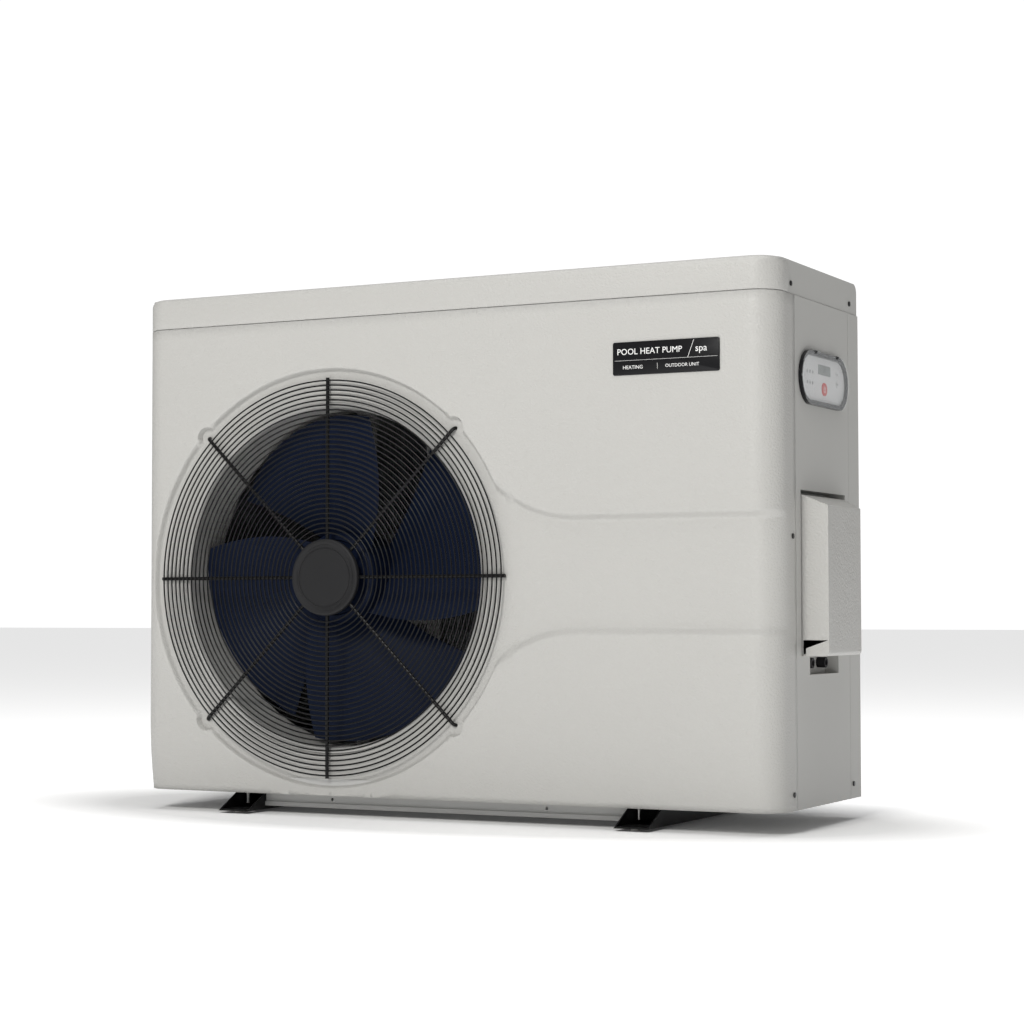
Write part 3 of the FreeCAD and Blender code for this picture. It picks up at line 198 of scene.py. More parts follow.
FINISHES = {
    "textured_casing": casing_textured(),
    "smooth_casing": casing_smooth(),
    "black_steel": coated_steel("black_steel", (0.004, 0.004, 0.0042), 0.5, 0.25),
    "galvanised_steel": coated_steel("light_steel", (0.50, 0.50, 0.49), 0.45),
    "zinc_bolt": mottled("zinc_plate", (0.62, 0.62, 0.60), 0.34, 0.10, 60.0, metallic=0.9).material,
    "light_rubber": rubber("light_rubber", (0.55, 0.54, 0.52)),
    "guard_wire": coated_steel("guard_wire", (0.006, 0.006, 0.0062), 0.30, 0.22),
    "dark_plastic": dark_moulding("dark_moulding", (0.011, 0.011, 0.012), 0.55),
    "shroud_plastic": mottled("shroud_plastic", (0.46, 0.455, 0.44), 0.42, 0.03, 8.0).material,
    "fan_plastic": dark_moulding("fan_navy", (0.0045, 0.0095, 0.028), 0.55, 0.12),
    "black_enamel": dark_moulding("black_enamel", (0.012, 0.012, 0.012), 0.35),
    "black_rubber": rubber("black_rubber", (0.015, 0.015, 0.015)),
    "coil_aluminium": mottled("fin_aluminium", (0.50, 0.51, 0.52), 0.42, 0.10, 30.0, metallic=0.85).material,
    "copper": mottled("copper_tube", (0.60, 0.30, 0.19), 0.34, 0.16, 25.0, metallic=0.9).material,
    "exchanger_plastic": dark_moulding("exchanger_plastic", (0.03, 0.03, 0.032), 0.5),
    "titanium": mottled("titanium_tube", (0.40, 0.38, 0.35), 0.4, 0.08, 40.0, metallic=0.9).material,
    "board_green": mottled("board_green", (0.02, 0.13, 0.05), 0.4, 0.25, 120.0).material,
    "terminal_cream": mottled("terminal_cream", (0.62, 0.58, 0.45), 0.5, 0.04, 30.0).material,
    "display_black": dark_moulding("display_black", (0.008, 0.008, 0.009), 0.22),
    "display_trim": mottled("display_trim", (0.66, 0.66, 0.66), 0.30, 0.02, 20.0).material,
    "display_glass": clear_cover(),
    "lcd_grey": mottled("lcd_grey", (0.24, 0.26, 0.25), 0.12, 0.05, 30.0).material,
    "power_red": mottled("power_red", (0.55, 0.025, 0.02), 0.30, 0.05, 60.0).material,
    "print_white": mottled("print_white", (0.80, 0.80, 0.79), 0.5, 0.02, 60.0).material,
    "print_dark": mottled("print_dark", (0.05, 0.05, 0.055), 0.5, 0.02, 60.0).material,
}

slot_of = {entry["node"]: entry["material_slot"] for entry in frame["record"]["subparts"]}
body_of = {node: body for body, members in frame["record"]["behaviour"]["bodies"].items()
           for node in members}


# ---------------------------------------------------------------- mesh helpers

def make_piece(name, points, faces, node=None, body=None, finish=None, slot=None, smooth=True, sharp=35.0):
    """A mesh from points in millimetres and faces; it stands for a CAD node, or rides on a body."""
    mesh = bpy.data.meshes.new(name)
    mesh.from_pydata((np.asarray(points, float) * MM).tolist(), [], [list(f) for f in faces])
    mesh.validate()
    mesh.polygons.foreach_set("use_smooth", np.full(len(mesh.polygons), smooth))
    if smooth:
        mesh.set_sharp_from_angle(angle=math.radians(sharp))
    thing = bpy.data.objects.new(name, mesh)
    bpy.context.scene.collection.objects.link(thing)
    slot = slot or (slot_of[node] if node else None)
    mesh.materials.append(FINISHES[finish or slot])
    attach(thing, body or body_of[node])
    if node:
        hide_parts(node)
    return thing


def face_outwards(thing):
    """Turns every face of a closed piece outwards."""
    work = bmesh.new()
    work.from_mesh(thing.data)
    bmesh.ops.remove_doubles(work, verts=work.verts, dist=1e-6)
    bmesh.ops.recalc_face_normals(work, faces=work.faces)
    work.to_mesh(thing.data)
    work.free()


def grid_faces(rows, columns, wrap_rows=False, wrap_columns=False):
    """Quads of a grid of points stored row by row."""
    i = np.arange(rows if wrap_rows else rows - 1)[:, None]
    j = np.arange(columns if wrap_columns else columns - 1)[None, :]
    a = i * columns + j
    b = i * columns + (j + 1) % columns
    c = ((i + 1) % rows) * columns + (j + 1) % columns
    e = ((i + 1) % rows) * columns + j
    return np.stack([a, b, c, e], -1).reshape(-1, 4).tolist()


def turned(profile, segments, centre):
    """A profile of (radius, y) carried round an axis along Y through centre (x, z)."""
    profile = np.asarray(profile, float)
    angle = np.linspace(0, 2 * np.pi, segments, endpoint=False)
    radius, y = profile[:, 0][:, None], profile[:, 1][:, None]
    points = np.stack([centre[0] + radius * np.cos(angle), y + 0 * angle,
                       centre[1] + radius * np.sin(angle)], -1)
    return points.reshape(-1, 3), grid_faces(len(profile), segments, False, True)


def carried(path, radius, sides):
    """A round tube of the given radius along a path of points, with flat ends."""
    path = np.asarray(path, float)
    along = np.gradient(path, axis=0)
    along /= np.linalg.norm(along, axis=1)[:, None]
    helper = np.where(np.abs(along[:, 2:3]) > 0.9, np.array([[1.0, 0, 0]]), np.array([[0, 0, 1.0]]))
    one = np.cross(along, helper)
    one /= np.linalg.norm(one, axis=1)[:, None]
    two = np.cross(along, one)
    angle = np.linspace(0, 2 * np.pi, sides, endpoint=False)
    points = path[:, None, :] + radius * (one[:, None, :] * np.cos(angle)[None, :, None]
                                          + two[:, None, :] * np.sin(angle)[None, :, None])
    faces = grid_faces(len(path), sides, False, True)
    faces += [list(range(sides)), [(len(path) - 1) * sides + k for k in range(sides)]]
    return points.reshape(-1, 3), faces


BOX_CORNERS = np.array([[i, j, k] for i in (0, 1) for j in (0, 1) for k in (0, 1)], float)
BOX_FACES = [[0, 1, 3, 2], [4, 6, 7, 5], [0, 4, 5, 1], [2, 3, 7, 6], [0, 2, 6, 4], [1, 5, 7, 3]]
# Two loops of four points, the first four below the last four.
PRISM_FACES = [[0, 1, 2, 3], [4, 7, 6, 5], [0, 4, 5, 1], [1, 5, 6, 2], [2, 6, 7, 3], [3, 7, 4, 0]]


class Builder:
    """Collects the points and faces of several forms into one piece."""

    def __init__(self):
        self.points, self.faces, self.count = [], [], 0

    def add(self, points, faces):
        points = np.asarray(points, float).reshape(-1, 3)
        self.faces += [[k + self.count for k in face] for face in faces]
        self.points.append(points)
        self.count += len(points)

    def block(self, low, high):
        """A box between two corners."""
        low, high = np.asarray(low, float), np.asarray(high, float)
        self.add(low + BOX_CORNERS * (high - low), BOX_FACES)

    def all_points(self):
        return np.concatenate(self.points)


def box_mm(node):
    """A CAD node's low and high corners, in millimetres."""
    return [np.array(corner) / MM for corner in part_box(node)]


def smoothstep(share):
    share = np.clip(share, 0, 1)
    return share * share * (3 - 2 * share)


# ---------------------------------------------------------------- front panel

LEFT, RIGHT, FRONT, REAR_EDGE = -460.0, 500.0, -166.0, -95.2
CORNER = 37.0
PANEL_LOW, PANEL_HIGH, PANEL_WALL = 28.4, 678.6, 2.5
# The fan's axis and the radius of the hole in front of it.
FAN_X, FAN_Z = -151.2, 325.3
OPENING = 239.4
# The recess, and the radius and the width of the slope at the edge of its disc and of each ear.
RECESS = 9.0
DISC, DISC_SLOPE = 284.0, 5.5
EAR, EAR_SLOPE = 14.0, 3.6
# The ears are on the diagonals, and the bent guard rods end in them.
EAR_FROM_FAN = 278.4
EAR_OFFSET = EAR_FROM_FAN / math.sqrt(2)
EARS = [(FAN_X + sign_x * EAR_OFFSET, FAN_Z + sign_z * EAR_OFFSET)
        for sign_x in (-1, 1) for sign_z in (-1, 1)]
# The band: its middle, half its height, the radius and start of its bends, and the width of its slope.
BAND_Z, BAND_HALF, BAND_BEND, BAND_START = 326.35, 73.4, 180.0, 225.0
BAND_SLOPE, BAND_FROM = 11.0, 100.0
BAND_RISE = BAND_Z + BAND_HALF + BAND_BEND
BAND_MARGIN = 17.0
# The face's lower edge is drawn in by the tuck.
TUCK, TUCK_HEIGHT = 8.5, 96.0
ARC = CORNER * math.pi / 2
FLAT_LEFT, FLAT_RIGHT = LEFT + CORNER, RIGHT - CORNER
WRAP = REAR_EDGE - (FRONT + CORNER)


def panel_surface(along, z):
    """The front panel's outside: a plan outline with round corners, walked by its length along,
    set back by the recess and by the tuck; both fade to nothing towards the side's rear edge."""
    right = np.clip(along - FLAT_RIGHT, 0, ARC) / CORNER
    left = np.clip(FLAT_LEFT - along, 0, ARC) / CORNER
    x = np.clip(along, FLAT_LEFT, FLAT_RIGHT) + CORNER * (np.sin(right) - np.sin(left))
    y = FRONT + CORNER * (2 - np.cos(right) - np.cos(left))
    past = np.clip(along - FLAT_RIGHT - ARC, 0, None) + np.clip(FLAT_LEFT - ARC - along, 0, None)
    share = np.clip(past / WRAP, 0, 1)
    back = recess_depth(x, z) + TUCK * np.clip(1 - (z - PANEL_LOW) / TUCK_HEIGHT, 0, 1) ** 2
    return np.stack([x, y + past + back * (1 - share), z], -1)


def recess_depth(x, z):
    """How far the face is pressed in: the deepest of the disc round the fan, its ears and the band."""
    from_fan = np.hypot(x - FAN_X, z - FAN_Z)
    depth = smoothstep(0.5 - (from_fan - DISC) / DISC_SLOPE)
    for ear_x, ear_z in EARS:
        from_ear = np.hypot(x - ear_x, z - ear_z)
        depth = np.maximum(depth, smoothstep(0.5 - (from_ear - EAR) / EAR_SLOPE))
    upper = np.where(x < BAND_START, np.hypot(x - BAND_START, z - BAND_RISE), BAND_RISE - z)
    low_rise = 2 * BAND_Z - BAND_RISE
    lower = np.where(x < BAND_START, np.hypot(x - BAND_START, z - low_rise), z - low_rise)
    outside = np.maximum(BAND_BEND - upper, BAND_BEND - lower)
    band = smoothstep(0.5 - outside / BAND_SLOPE) * (x > BAND_FROM)
    return RECESS * np.maximum(depth, band)


def panel_net():
    """Points on the unrolled panel: rings round the fan and its ears, rows along the band's edges,
    columns round the corners, and a coarse net between."""
    low, high = FLAT_LEFT - ARC - WRAP, FLAT_RIGHT + ARC + WRAP
    turn = np.linspace(0, 2 * np.pi, 288, endpoint=False)
    rings = np.array([OPENING, 246, 258, 270, 276, 279, 280.5, 282, 283.5, 285, 286.5, 288, 290, 296, 304])
    radius, angle = np.meshgrid(rings, turn, indexing="ij")
    sets = [np.stack([FAN_X + radius * np.cos(angle), FAN_Z + radius * np.sin(angle)], -1).reshape(-1, 2)]
    ear_steps = 30
    ear_radius, ear_turn = np.meshgrid(np.array([0.0, 6, 10.5, 11.5, 12.5, 14, 15.5, 16.5, 18.5]),
                                       np.linspace(0, 2 * np.pi, ear_steps, endpoint=False), indexing="ij")
    for ear_x, ear_z in EARS:
        ear = np.stack([ear_x + ear_radius * np.cos(ear_turn),
                        ear_z + ear_radius * np.sin(ear_turn)], -1).reshape(-1, 2)
        sets[0] = sets[0][np.hypot(*(sets[0] - ear[0]).T) > 20.5]
        sets.append(ear[:1])
        sets.append(ear[ear_steps:])
    sweep = np.radians(np.linspace(44, 0, 45))
    offsets = np.array([-14.0, -9.5, -8, -6.5, -5, -3, -1, 1, 3, 5, 6.5, 8, 9.5, 14])
    offset, angle = np.meshgrid(offsets, sweep, indexing="ij")
    bend = np.stack([BAND_START - (BAND_BEND - offset) * np.sin(angle),
                     BAND_RISE - (BAND_BEND - offset) * np.cos(angle)], -1).reshape(-1, 2)
    bend = bend[np.hypot(bend[:, 0] - FAN_X, bend[:, 1] - FAN_Z) > 305]
    run = np.concatenate([np.linspace(BAND_START + 7, FLAT_RIGHT, 30),
                          np.linspace(FLAT_RIGHT, high, 24)[1:]])
    offset, straight = np.meshgrid(offsets, run, indexing="ij")
    rows = np.stack([straight, BAND_RISE - BAND_BEND + offset], -1).reshape(-1, 2)
    upper = np.concatenate([bend, rows])
    lower = upper * [1, -1] + [0, 2 * BAND_Z]
    sets += [upper, lower]
    coarse_x = np.concatenate([np.linspace(low, FLAT_LEFT - ARC, 4),
                               np.linspace(FLAT_LEFT - ARC, FLAT_LEFT, 15)[1:],
                               np.linspace(FLAT_LEFT, FLAT_RIGHT, 56)[1:-1],
                               np.linspace(FLAT_RIGHT, FLAT_RIGHT + ARC, 15),
                               np.linspace(FLAT_RIGHT + ARC, high, 4)[1:]])
    coarse_z = np.concatenate([np.linspace(PANEL_LOW, PANEL_LOW + TUCK_HEIGHT, 13),
                               np.linspace(PANEL_LOW + TUCK_HEIGHT, PANEL_HIGH, 36)[1:]])
    net = np.stack(np.meshgrid(coarse_x, coarse_z, indexing="ij"), -1).reshape(-1, 2)
    from_fan = np.hypot(net[:, 0] - FAN_X, net[:, 1] - FAN_Z)
    near_bend = near_band_bend(net[:, 0], net[:, 1])
    edge = (net[:, 0] < low + 1) | (net[:, 0] > high - 1)
    edge |= (net[:, 1] < PANEL_LOW + 1) | (net[:, 1] > PANEL_HIGH - 1)
    near_row = (np.abs(np.abs(net[:, 1] - BAND_Z) - BAND_HALF) < BAND_MARGIN) & (net[:, 0] > BAND_START)
    keep = (from_fan > 309) & ~near_bend & ~near_row | (edge & ~near_row)
    sets.append(net[keep])
    points = np.concatenate(sets)
    inside = (points[:, 0] >= low - 1e-6) & (points[:, 0] <= high + 1e-6)
    inside &= (points[:, 1] >= PANEL_LOW - 1e-6) & (points[:, 1] <= PANEL_HIGH + 1e-6)
    return points[inside]


def near_band_bend(x, z):
    """True beside the bent part of the band's two edges, within the margin."""
    upper = np.hypot(x - BAND_START, z - BAND_RISE)
    lower = np.hypot(x - BAND_START, z - 2 * BAND_Z + BAND_RISE)
    near = (np.abs(upper - BAND_BEND) < BAND_MARGIN) | (np.abs(lower - BAND_BEND) < BAND_MARGIN)
    return near & (x < BAND_START + 1) & (x > 95) & (np.abs(z - BAND_Z) < 130 + BAND_HALF)


def build_front_panel():
    """Joins the net into triangles, drops those inside the opening, wraps them and gives them a wall."""
    flat = panel_net()
    verts, _, faces, *_ = delaunay_2d_cdt([Vector(p) for p in flat.tolist()], [], [], 0, 1e-4)
    flat = np.array([tuple(v) for v in verts])
    faces = np.array([list(f) for f in faces])
    radius = np.hypot(flat[:, 0] - FAN_X, flat[:, 1] - FAN_Z)
    faces = faces[~(radius[faces] < OPENING + 0.6).all(axis=1)]
    a, b, c = (flat[faces[:, k]] for k in range(3))
    area = (b[:, 0] - a[:, 0]) * (c[:, 1] - a[:, 1]) - (b[:, 1] - a[:, 1]) * (c[:, 0] - a[:, 0])
    faces = faces[np.abs(area) > 1e-3]
    area = area[np.abs(area) > 1e-3]
    faces[area < 0] = faces[area < 0][:, ::-1]
    panel = make_piece("front_panel_skin", panel_surface(flat[:, 0], flat[:, 1]), faces.tolist(),
                       "front_panel", sharp=60)
    wall = panel.modifiers.new("wall", "SOLIDIFY")
    wall.thickness = PANEL_WALL * MM
    wall.offset = -1


build_front_panel()


# ---------------------------------------------------------------- lid fascia

FASCIA_BACK = -118.0


def outline(inset):
    """Plan outline of the lid's front, drawn in by inset: left side, two round corners, right side."""
    radius = max(CORNER - inset, 2.0)
    left, right, front = LEFT + inset, RIGHT - inset, FRONT + inset
    angle = np.linspace(0, np.pi / 2, 14)
    left_corner = np.stack([left + radius - radius * np.cos(angle),
                            front + radius - radius * np.sin(angle)], -1)
    right_corner = np.stack([right - radius + radius * np.sin(angle),
                             front + radius - radius * np.cos(angle)], -1)
    return np.concatenate([[[left, FASCIA_BACK]], left_corner, right_corner, [[right, FASCIA_BACK]]])


def build_lid_fascia():
    """A wall with a rounded top edge carried round the outline, closed by a top, a back and a floor."""
    low, high, edge = 679.4, 723.0, 10.0
    turn = np.linspace(0, np.pi / 2, 10)
    inset = np.concatenate([[1.2, 0.4, 0, 0], edge * (1 - np.cos(turn))])
    height = np.concatenate([[low, low + 0.6, low + 1.6, low + 16], high - edge + edge * np.sin(turn)])
    count = len(outline(0))
    rows = [np.column_stack([outline(i), np.full(count, z)]) for i, z in zip(inset, height)]
    points = np.concatenate(rows)
    faces = grid_faces(len(rows), count)
    top = (len(rows) - 1) * count
    faces.append([top + k for k in range(count)])
    faces.append(list(range(count))[::-1])
    left_edge = [r * count for r in range(len(rows))]
    right_edge = [r * count + count - 1 for r in range(len(rows))]
    faces.append(left_edge + right_edge[::-1])
    face_outwards(make_piece("lid_fascia_skin", points, faces, "lid_fascia", sharp=40))


build_lid_fascia()


# ---------------------------------------------------------------- softened sheet-metal and moulded parts

SOFT_ANGLE = math.radians(30.0)


def soften(node, width):
    """A merged copy of a CAD node with its flats joined and its edges rounded."""
    mesh = nodes[node].data.copy()
    mesh.name = node + "_rounded"
    work = bmesh.new()
    work.from_mesh(mesh)
    bmesh.ops.remove_doubles(work, verts=work.verts, dist=2e-6)
    bmesh.ops.dissolve_limit(work, angle_limit=math.radians(0.6), verts=work.verts, edges=work.edges)
    work.to_mesh(mesh)
    work.free()
    mesh.materials.clear()
    mesh.materials.append(FINISHES[slot_of[node]])
    mesh.polygons.foreach_set("use_smooth", np.full(len(mesh.polygons), True))
    mesh.set_sharp_from_angle(angle=SOFT_ANGLE)
    thing = bpy.data.objects.new(node + "_rounded", mesh)
    bpy.context.scene.collection.objects.link(thing)
    if width:
        bevel = thing.modifiers.new("rounded", "BEVEL")
        bevel.width = width * MM
        bevel.segments = 2
        bevel.limit_method = "ANGLE"
        bevel.angle_limit = SOFT_ANGLE
        bevel.harden_normals = True
    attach(thing, body_of[node])
    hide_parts(node)


# The width of each node's rounding, in millimetres; 0 only smooths its curved faces.
SOFTENED = {"top_lid": 1.0, "right_side_panel": 0.5, "rear_corner_panel": 0.5, "junction_cover": 1.0,
            "junction_tray": 0.4, "left_foot": 0.5, "right_foot": 0.5, "foot_cross_bars": 0.4,
            "display_bezel": 0.15, "display_flap": 0.15, "fan_shroud": 0.0, "union_nuts": 0.8,
            "union_sockets": 0.8, "left_side_grille": 0.4, "foot_buttons": 0.6, "casing_screws": 0.4,
            "foot_bolts": 0.3, "fan_motor": 2.0, "motor_shaft": 0.4, "fan_nut": 0.5, "cable_glands": 0.4,
            "up_button": 0.5, "down_button": 0.5, "power_button": 0.6, "rear_coil_guard": 0.0,
            "exchanger_shell": 1.5, "compressor": 1.0, "display_face": 0.0, "display_housing": 0.2}
for node_name, edge_width in SOFTENED.items():
    soften(node_name, edge_width)


# ---------------------------------------------------------------- fan guard

RING_Y, RING_WIRE, ROD = -165.5, 1.1, 2.5
RINGS, OUTER_RING, RING_SPACING = 32, 269.0, 6.72
RODS = 8


def build_guard():
    """Each ring's point is centre + (radius + wire cos v)(cos u, sin u), wire sin v along Y."""
    guard = Builder()
    radius = OUTER_RING - RING_SPACING * np.arange(RINGS)
    around, sides = 160, 8
    u = np.linspace(0, 2 * np.pi, around, endpoint=False)
    v = np.linspace(0, 2 * np.pi, sides, endpoint=False)
    for ring in radius:
        reach = ring + RING_WIRE * np.cos(v)[None, :]
        points = np.stack([FAN_X + reach * np.cos(u)[:, None],
                           RING_Y + RING_WIRE * np.sin(v)[None, :] + 0 * u[:, None],
                           FAN_Z + reach * np.sin(u)[:, None]], -1)
        guard.add(points, grid_faces(around, sides, True, True))
    rod_y = RING_Y + RING_WIRE + ROD - 0.3
    for step in range(RODS):
        angle = math.radians(360 / RODS * step)
        way = np.array([math.cos(angle), 0, math.sin(angle)])
        centre = np.array([FAN_X, rod_y, FAN_Z])
        if step % 2:
            turn = np.linspace(0, np.pi / 2, 7)
            bend = 5.0
            rounded = way * np.sin(turn)[:, None] + np.array([0, 1, 0]) * (1 - np.cos(turn))[:, None]
            knee = centre + way * (EAR_FROM_FAN - bend) + bend * rounded
            path = np.concatenate([[centre + way * 20], knee, [knee[-1] + [0, 12, 0]]])
        else:
            path = np.array([centre + way * 20, centre + way * 150, centre + way * 272.2, centre + way * 273])
        guard.add(*carried(path, ROD, 14))
    back = rod_y + ROD
    plate = [(0.01, back), (45, back), (46, back + 0.5), (46, back + 1.5), (0.01, back + 1.5)]
    guard.add(*turned(plate, 64, (FAN_X, FAN_Z)))
    face_outwards(make_piece("guard_wires", guard.all_points(), guard.faces, "fan_guard", sharp=50))


def build_cap():
    """The guard's cap: a rounded disc with a raised rim, a fine groove and four curved marks."""
    front = -171.0
    profile = [(0.01, front + 0.9), (39.0, front + 0.9), (39.6, front + 1.6), (40.6, front + 1.6),
               (41.2, front + 0.9), (46.0, front + 0.7), (47.5, front + 0.1), (49.0, front),
               (50.8, front + 0.3), (51.9, front + 1.2), (52.3, front + 2.6), (52.3, front + 6.6),
               (49.8, front + 6.6), (49.8, front + 2.4), (0.01, front + 2.4)]
    cap = Builder()
    cap.add(*turned(profile, 128, (FAN_X, FAN_Z)))
    for quarter in range(4):
        turn = np.radians(np.linspace(-24, 24, 17) + 90 * quarter + 12)
        path = np.column_stack([FAN_X + 44.0 * np.cos(turn), np.full(len(turn), front + 0.75),
                                FAN_Z + 44.0 * np.sin(turn)])
        cap.add(*carried(path, 0.55, 8))
    face_outwards(make_piece("guard_cap_disc", cap.all_points(), cap.faces, "guard_cap", sharp=38))


build_guard()
build_cap()


# ---------------------------------------------------------------- fan wheel

HUB, TIP = 62.0, 224.5
BLADES = 4


def blade_edges(share):
    """Clockwise angles of a blade's rear and front edges, by share of the way from hub to tip."""
    return -47 - 13 * share ** 0.8, 57 - 46 * np.sqrt(share)


def build_wheel():
    """Blade: the angle runs from the rear edge to the front edge while y comes forward, with camber,
    a swept tip and a thin rounded section; the hub is a turned cup."""
    wheel = Builder()
    rows, columns = 26, 30
    radius = np.linspace(HUB - 3, TIP, rows)
    share = (radius - HUB + 3) / (TIP - HUB + 3)
    behind, ahead = blade_edges(share)
    loop = np.linspace(0, 2 * np.pi, 2 * columns, endpoint=False)
    across = 0.5 - 0.5 * np.cos(loop)
    side = np.sign(np.sin(loop)) * np.sqrt(np.abs(np.sin(loop)))
    for blade in range(BLADES):
        angle = behind[:, None] + (ahead - behind)[:, None] * across[None, :]
        turn = np.radians(90 - angle - 360 / BLADES * blade)
        depth = -67 - 57 * across[None, :] - 6 * np.sin(np.pi * across)[None, :] + 1.5 * side[None, :]
        points = np.stack([FAN_X + radius[:, None] * np.cos(turn), depth + 0 * turn,
                           FAN_Z + radius[:, None] * np.sin(turn)], -1)
        faces = grid_faces(rows, 2 * columns, False, True)
        faces += [list(range(2 * columns)), [(rows - 1) * 2 * columns + k for k in range(2 * columns)]]
        wheel.add(points, faces)
    front, rear = -142.0, -62.0
    profile = [(6.1, front), (16, front), (17, front + 1), (17, front + 3), (50, front + 3), (52, front),
               (57, front + 0.8), (60.5, front + 3.5), (HUB, front + 8), (HUB, rear), (HUB - 4, rear),
               (HUB - 4, front + 6), (17, front + 6), (16, front + 40), (6.1, front + 40), (6.1, front)]
    wheel.add(*turned(profile, 96, (FAN_X, FAN_Z)))
    face_outwards(make_piece("fan_wheel", wheel.all_points(), wheel.faces, "fan_impeller", sharp=45))


build_wheel()


# ---------------------------------------------------------------- coil

FIN, FIN_DEPTH, FIN_PITCH, FIN_BEND = 0.35, 35.0, 2.6, 36.0


def build_fins():
    """Thin upright fins in an L, with the level tubes through them."""
    (x0, y0, z0), (x1, y1, z1) = box_mm("evaporator_fins")
    fins = Builder()
    for x in np.arange(x0 + FIN_BEND, x1, FIN_PITCH):
        fins.block((x, y1 - FIN_DEPTH, z0), (x + FIN, y1, z1))
    for y in np.arange(y0, y1 - FIN_BEND, FIN_PITCH):
        fins.block((x0, y, z0), (x0 + FIN_DEPTH, y + FIN, z1))
    for turn in np.radians(np.linspace(180, 90, 18)):
        inner = np.array([x0 + FIN_BEND, y1 - FIN_BEND]) + 1.0 * np.array([math.cos(turn), math.sin(turn)])
        outer = np.array([x0 + FIN_BEND, y1 - FIN_BEND]) + 35.5 * np.array([math.cos(turn), math.sin(turn)])
        across = np.array([-math.sin(turn), math.cos(turn)]) * 0.18
        ring = [inner - across, outer - across, outer + across, inner + across]
        points = [[*p, z] for z in (z0, z1) for p in ring]
        fins.add(points, PRISM_FACES)
    for step in range(14):
        for level in (0, 21):
            z = z0 + 20 + (z1 - z0 - 62) * step / 13 + level
            for y in (y1 - 26, y1 - 9):
                fins.add(*carried([(x0 + FIN_BEND, y, z), (x1 - 20, y, z), (x1 - 0.2, y, z)], 4, 8))
    face_outwards(make_piece("coil_fins", fins.all_points(), fins.faces, "evaporator_fins", smooth=False))


build_fins()


# ---------------------------------------------------------------- name plate and display marks

def text_piece(name, words, size, place, turn, body, finish, depth):
    """Raised lettering, made a mesh before it is put in place; size and place in millimetres."""
    curve = bpy.data.curves.new(name, "FONT")
    curve.body = words
    curve.size = size * MM
    curve.extrude = depth * MM
    curve.resolution_u = 3
    source = bpy.data.objects.new(name + "_source", curve)
    bpy.context.scene.collection.objects.link(source)
    mesh = bpy.data.meshes.new_from_object(source.evaluated_get(bpy.context.evaluated_depsgraph_get()))
    bpy.data.objects.remove(source)
    mesh.name = name
    mesh.transform(Matrix.Translation(Vector(place) * MM) @ turn)
    mesh.materials.clear()
    mesh.materials.append(FINISHES[finish])
    thing = bpy.data.objects.new(name, mesh)
    bpy.context.scene.collection.objects.link(thing)
    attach(thing, body)


FACING_FRONT = Matrix.Rotation(math.pi / 2, 4, "X")
FACING_SIDE = Matrix.Rotation(math.pi / 2, 4, "Z") @ Matrix.Rotation(math.pi / 2, 4, "X")


def build_name_plate():
    """A black plate with softened edges, its printed lines and its words."""
    (x0, front, z0), (x1, back, z1) = box_mm("name_plate")
    bend = 2.5
    angle = np.linspace(0, np.pi / 2, 5)
    corners = ((x1 - bend, z1 - bend), (x0 + bend, z1 - bend), (x0 + bend, z0 + bend), (x1 - bend, z0 + bend))
    rows = []
    for inset, y in ((0, back), (0, front + 0.4), (0.15, front + 0.12), (0.5, front)):
        radius = bend - inset
        for quarter, (x, z) in enumerate(corners):
            turn = angle + quarter * np.pi / 2
            rows.append(np.column_stack([x + radius * np.cos(turn), np.full(len(angle), y),
                                         z + radius * np.sin(turn)]))
    faces = grid_faces(4, 20, False, True) + [list(range(20)), list(range(60, 80))]
    face_outwards(make_piece("name_plate_body", np.concatenate(rows), faces, "name_plate", sharp=30))
    marks = Builder()
    middle = z0 + 0.44 * (z1 - z0)
    raised, sunk = front - 0.06, front + 0.1
    marks.block((x0 + 3, raised, middle - 0.15), (x1 - 3, sunk, middle + 0.15))
    slant = ((x0 + 103.5, middle), (x0 + 104.1, middle), (x0 + 112.6, z1 - 1.5), (x0 + 112.0, z1 - 1.5))
    marks.add([(x, y, z) for y in (raised, sunk) for x, z in slant], PRISM_FACES)
    marks.block((x0 + 62, raised, z0 + 6), (x0 + 62.4, sunk, z0 + 14))
    face_outwards(make_piece("name_plate_lines", marks.all_points(), marks.faces, body="cabinet",
                            finish="print_white", slot="display_black", smooth=False))
    for name, words, size, x, z in (("name_plate_words", "POOL HEAT PUMP", 11.0, x0 + 6, middle + 7.5),
                                    ("name_plate_word_spa", "spa", 12.5, x0 + 114, middle + 7.3),
                                    ("name_plate_small_left", "HEATING", 6.6, x0 + 14, z0 + 7.6),
                                    ("name_plate_small_right", "OUTDOOR UNIT", 6.0, x0 + 73, z0 + 7.8)):
        text_piece(name, words, size, (x, front - 0.05, z), FACING_FRONT, "cabinet", "print_white",
                   0.08)


build_name_plate()


def flat_marks(name, body, finish, slot, shapes, x):
    """Thin raised marks on the service side, each a closed outline in (y, z)."""
    sunk, raised = -0.05, 0.12
    marks = Builder()
    for shape in shapes:
        shape = np.asarray(shape, float)
        count = len(shape)
        points = np.concatenate([np.column_stack([np.full(count, x + height), shape])
                                 for height in (sunk, raised)])
        faces = [list(range(count))[::-1], list(range(count, 2 * count))]
        faces += [[k, (k + 1) % count, count + (k + 1) % count, count + k] for k in range(count)]
        marks.add(points, faces)
    face_outwards(make_piece(name, marks.all_points(), marks.faces, body=body, finish=finish, slot=slot,
                             smooth=False))


def arc_band(y, z, inner, outer, start, end):
    """A bent strip between two radii, from a start to an end angle."""
    turn = np.radians(np.linspace(start, end, 20))
    outside = np.column_stack([y + outer * np.cos(turn), z + outer * np.sin(turn)])
    inside = np.column_stack([y + inner * np.cos(turn[::-1]), z + inner * np.sin(turn[::-1])])
    return np.concatenate([outside, inside])


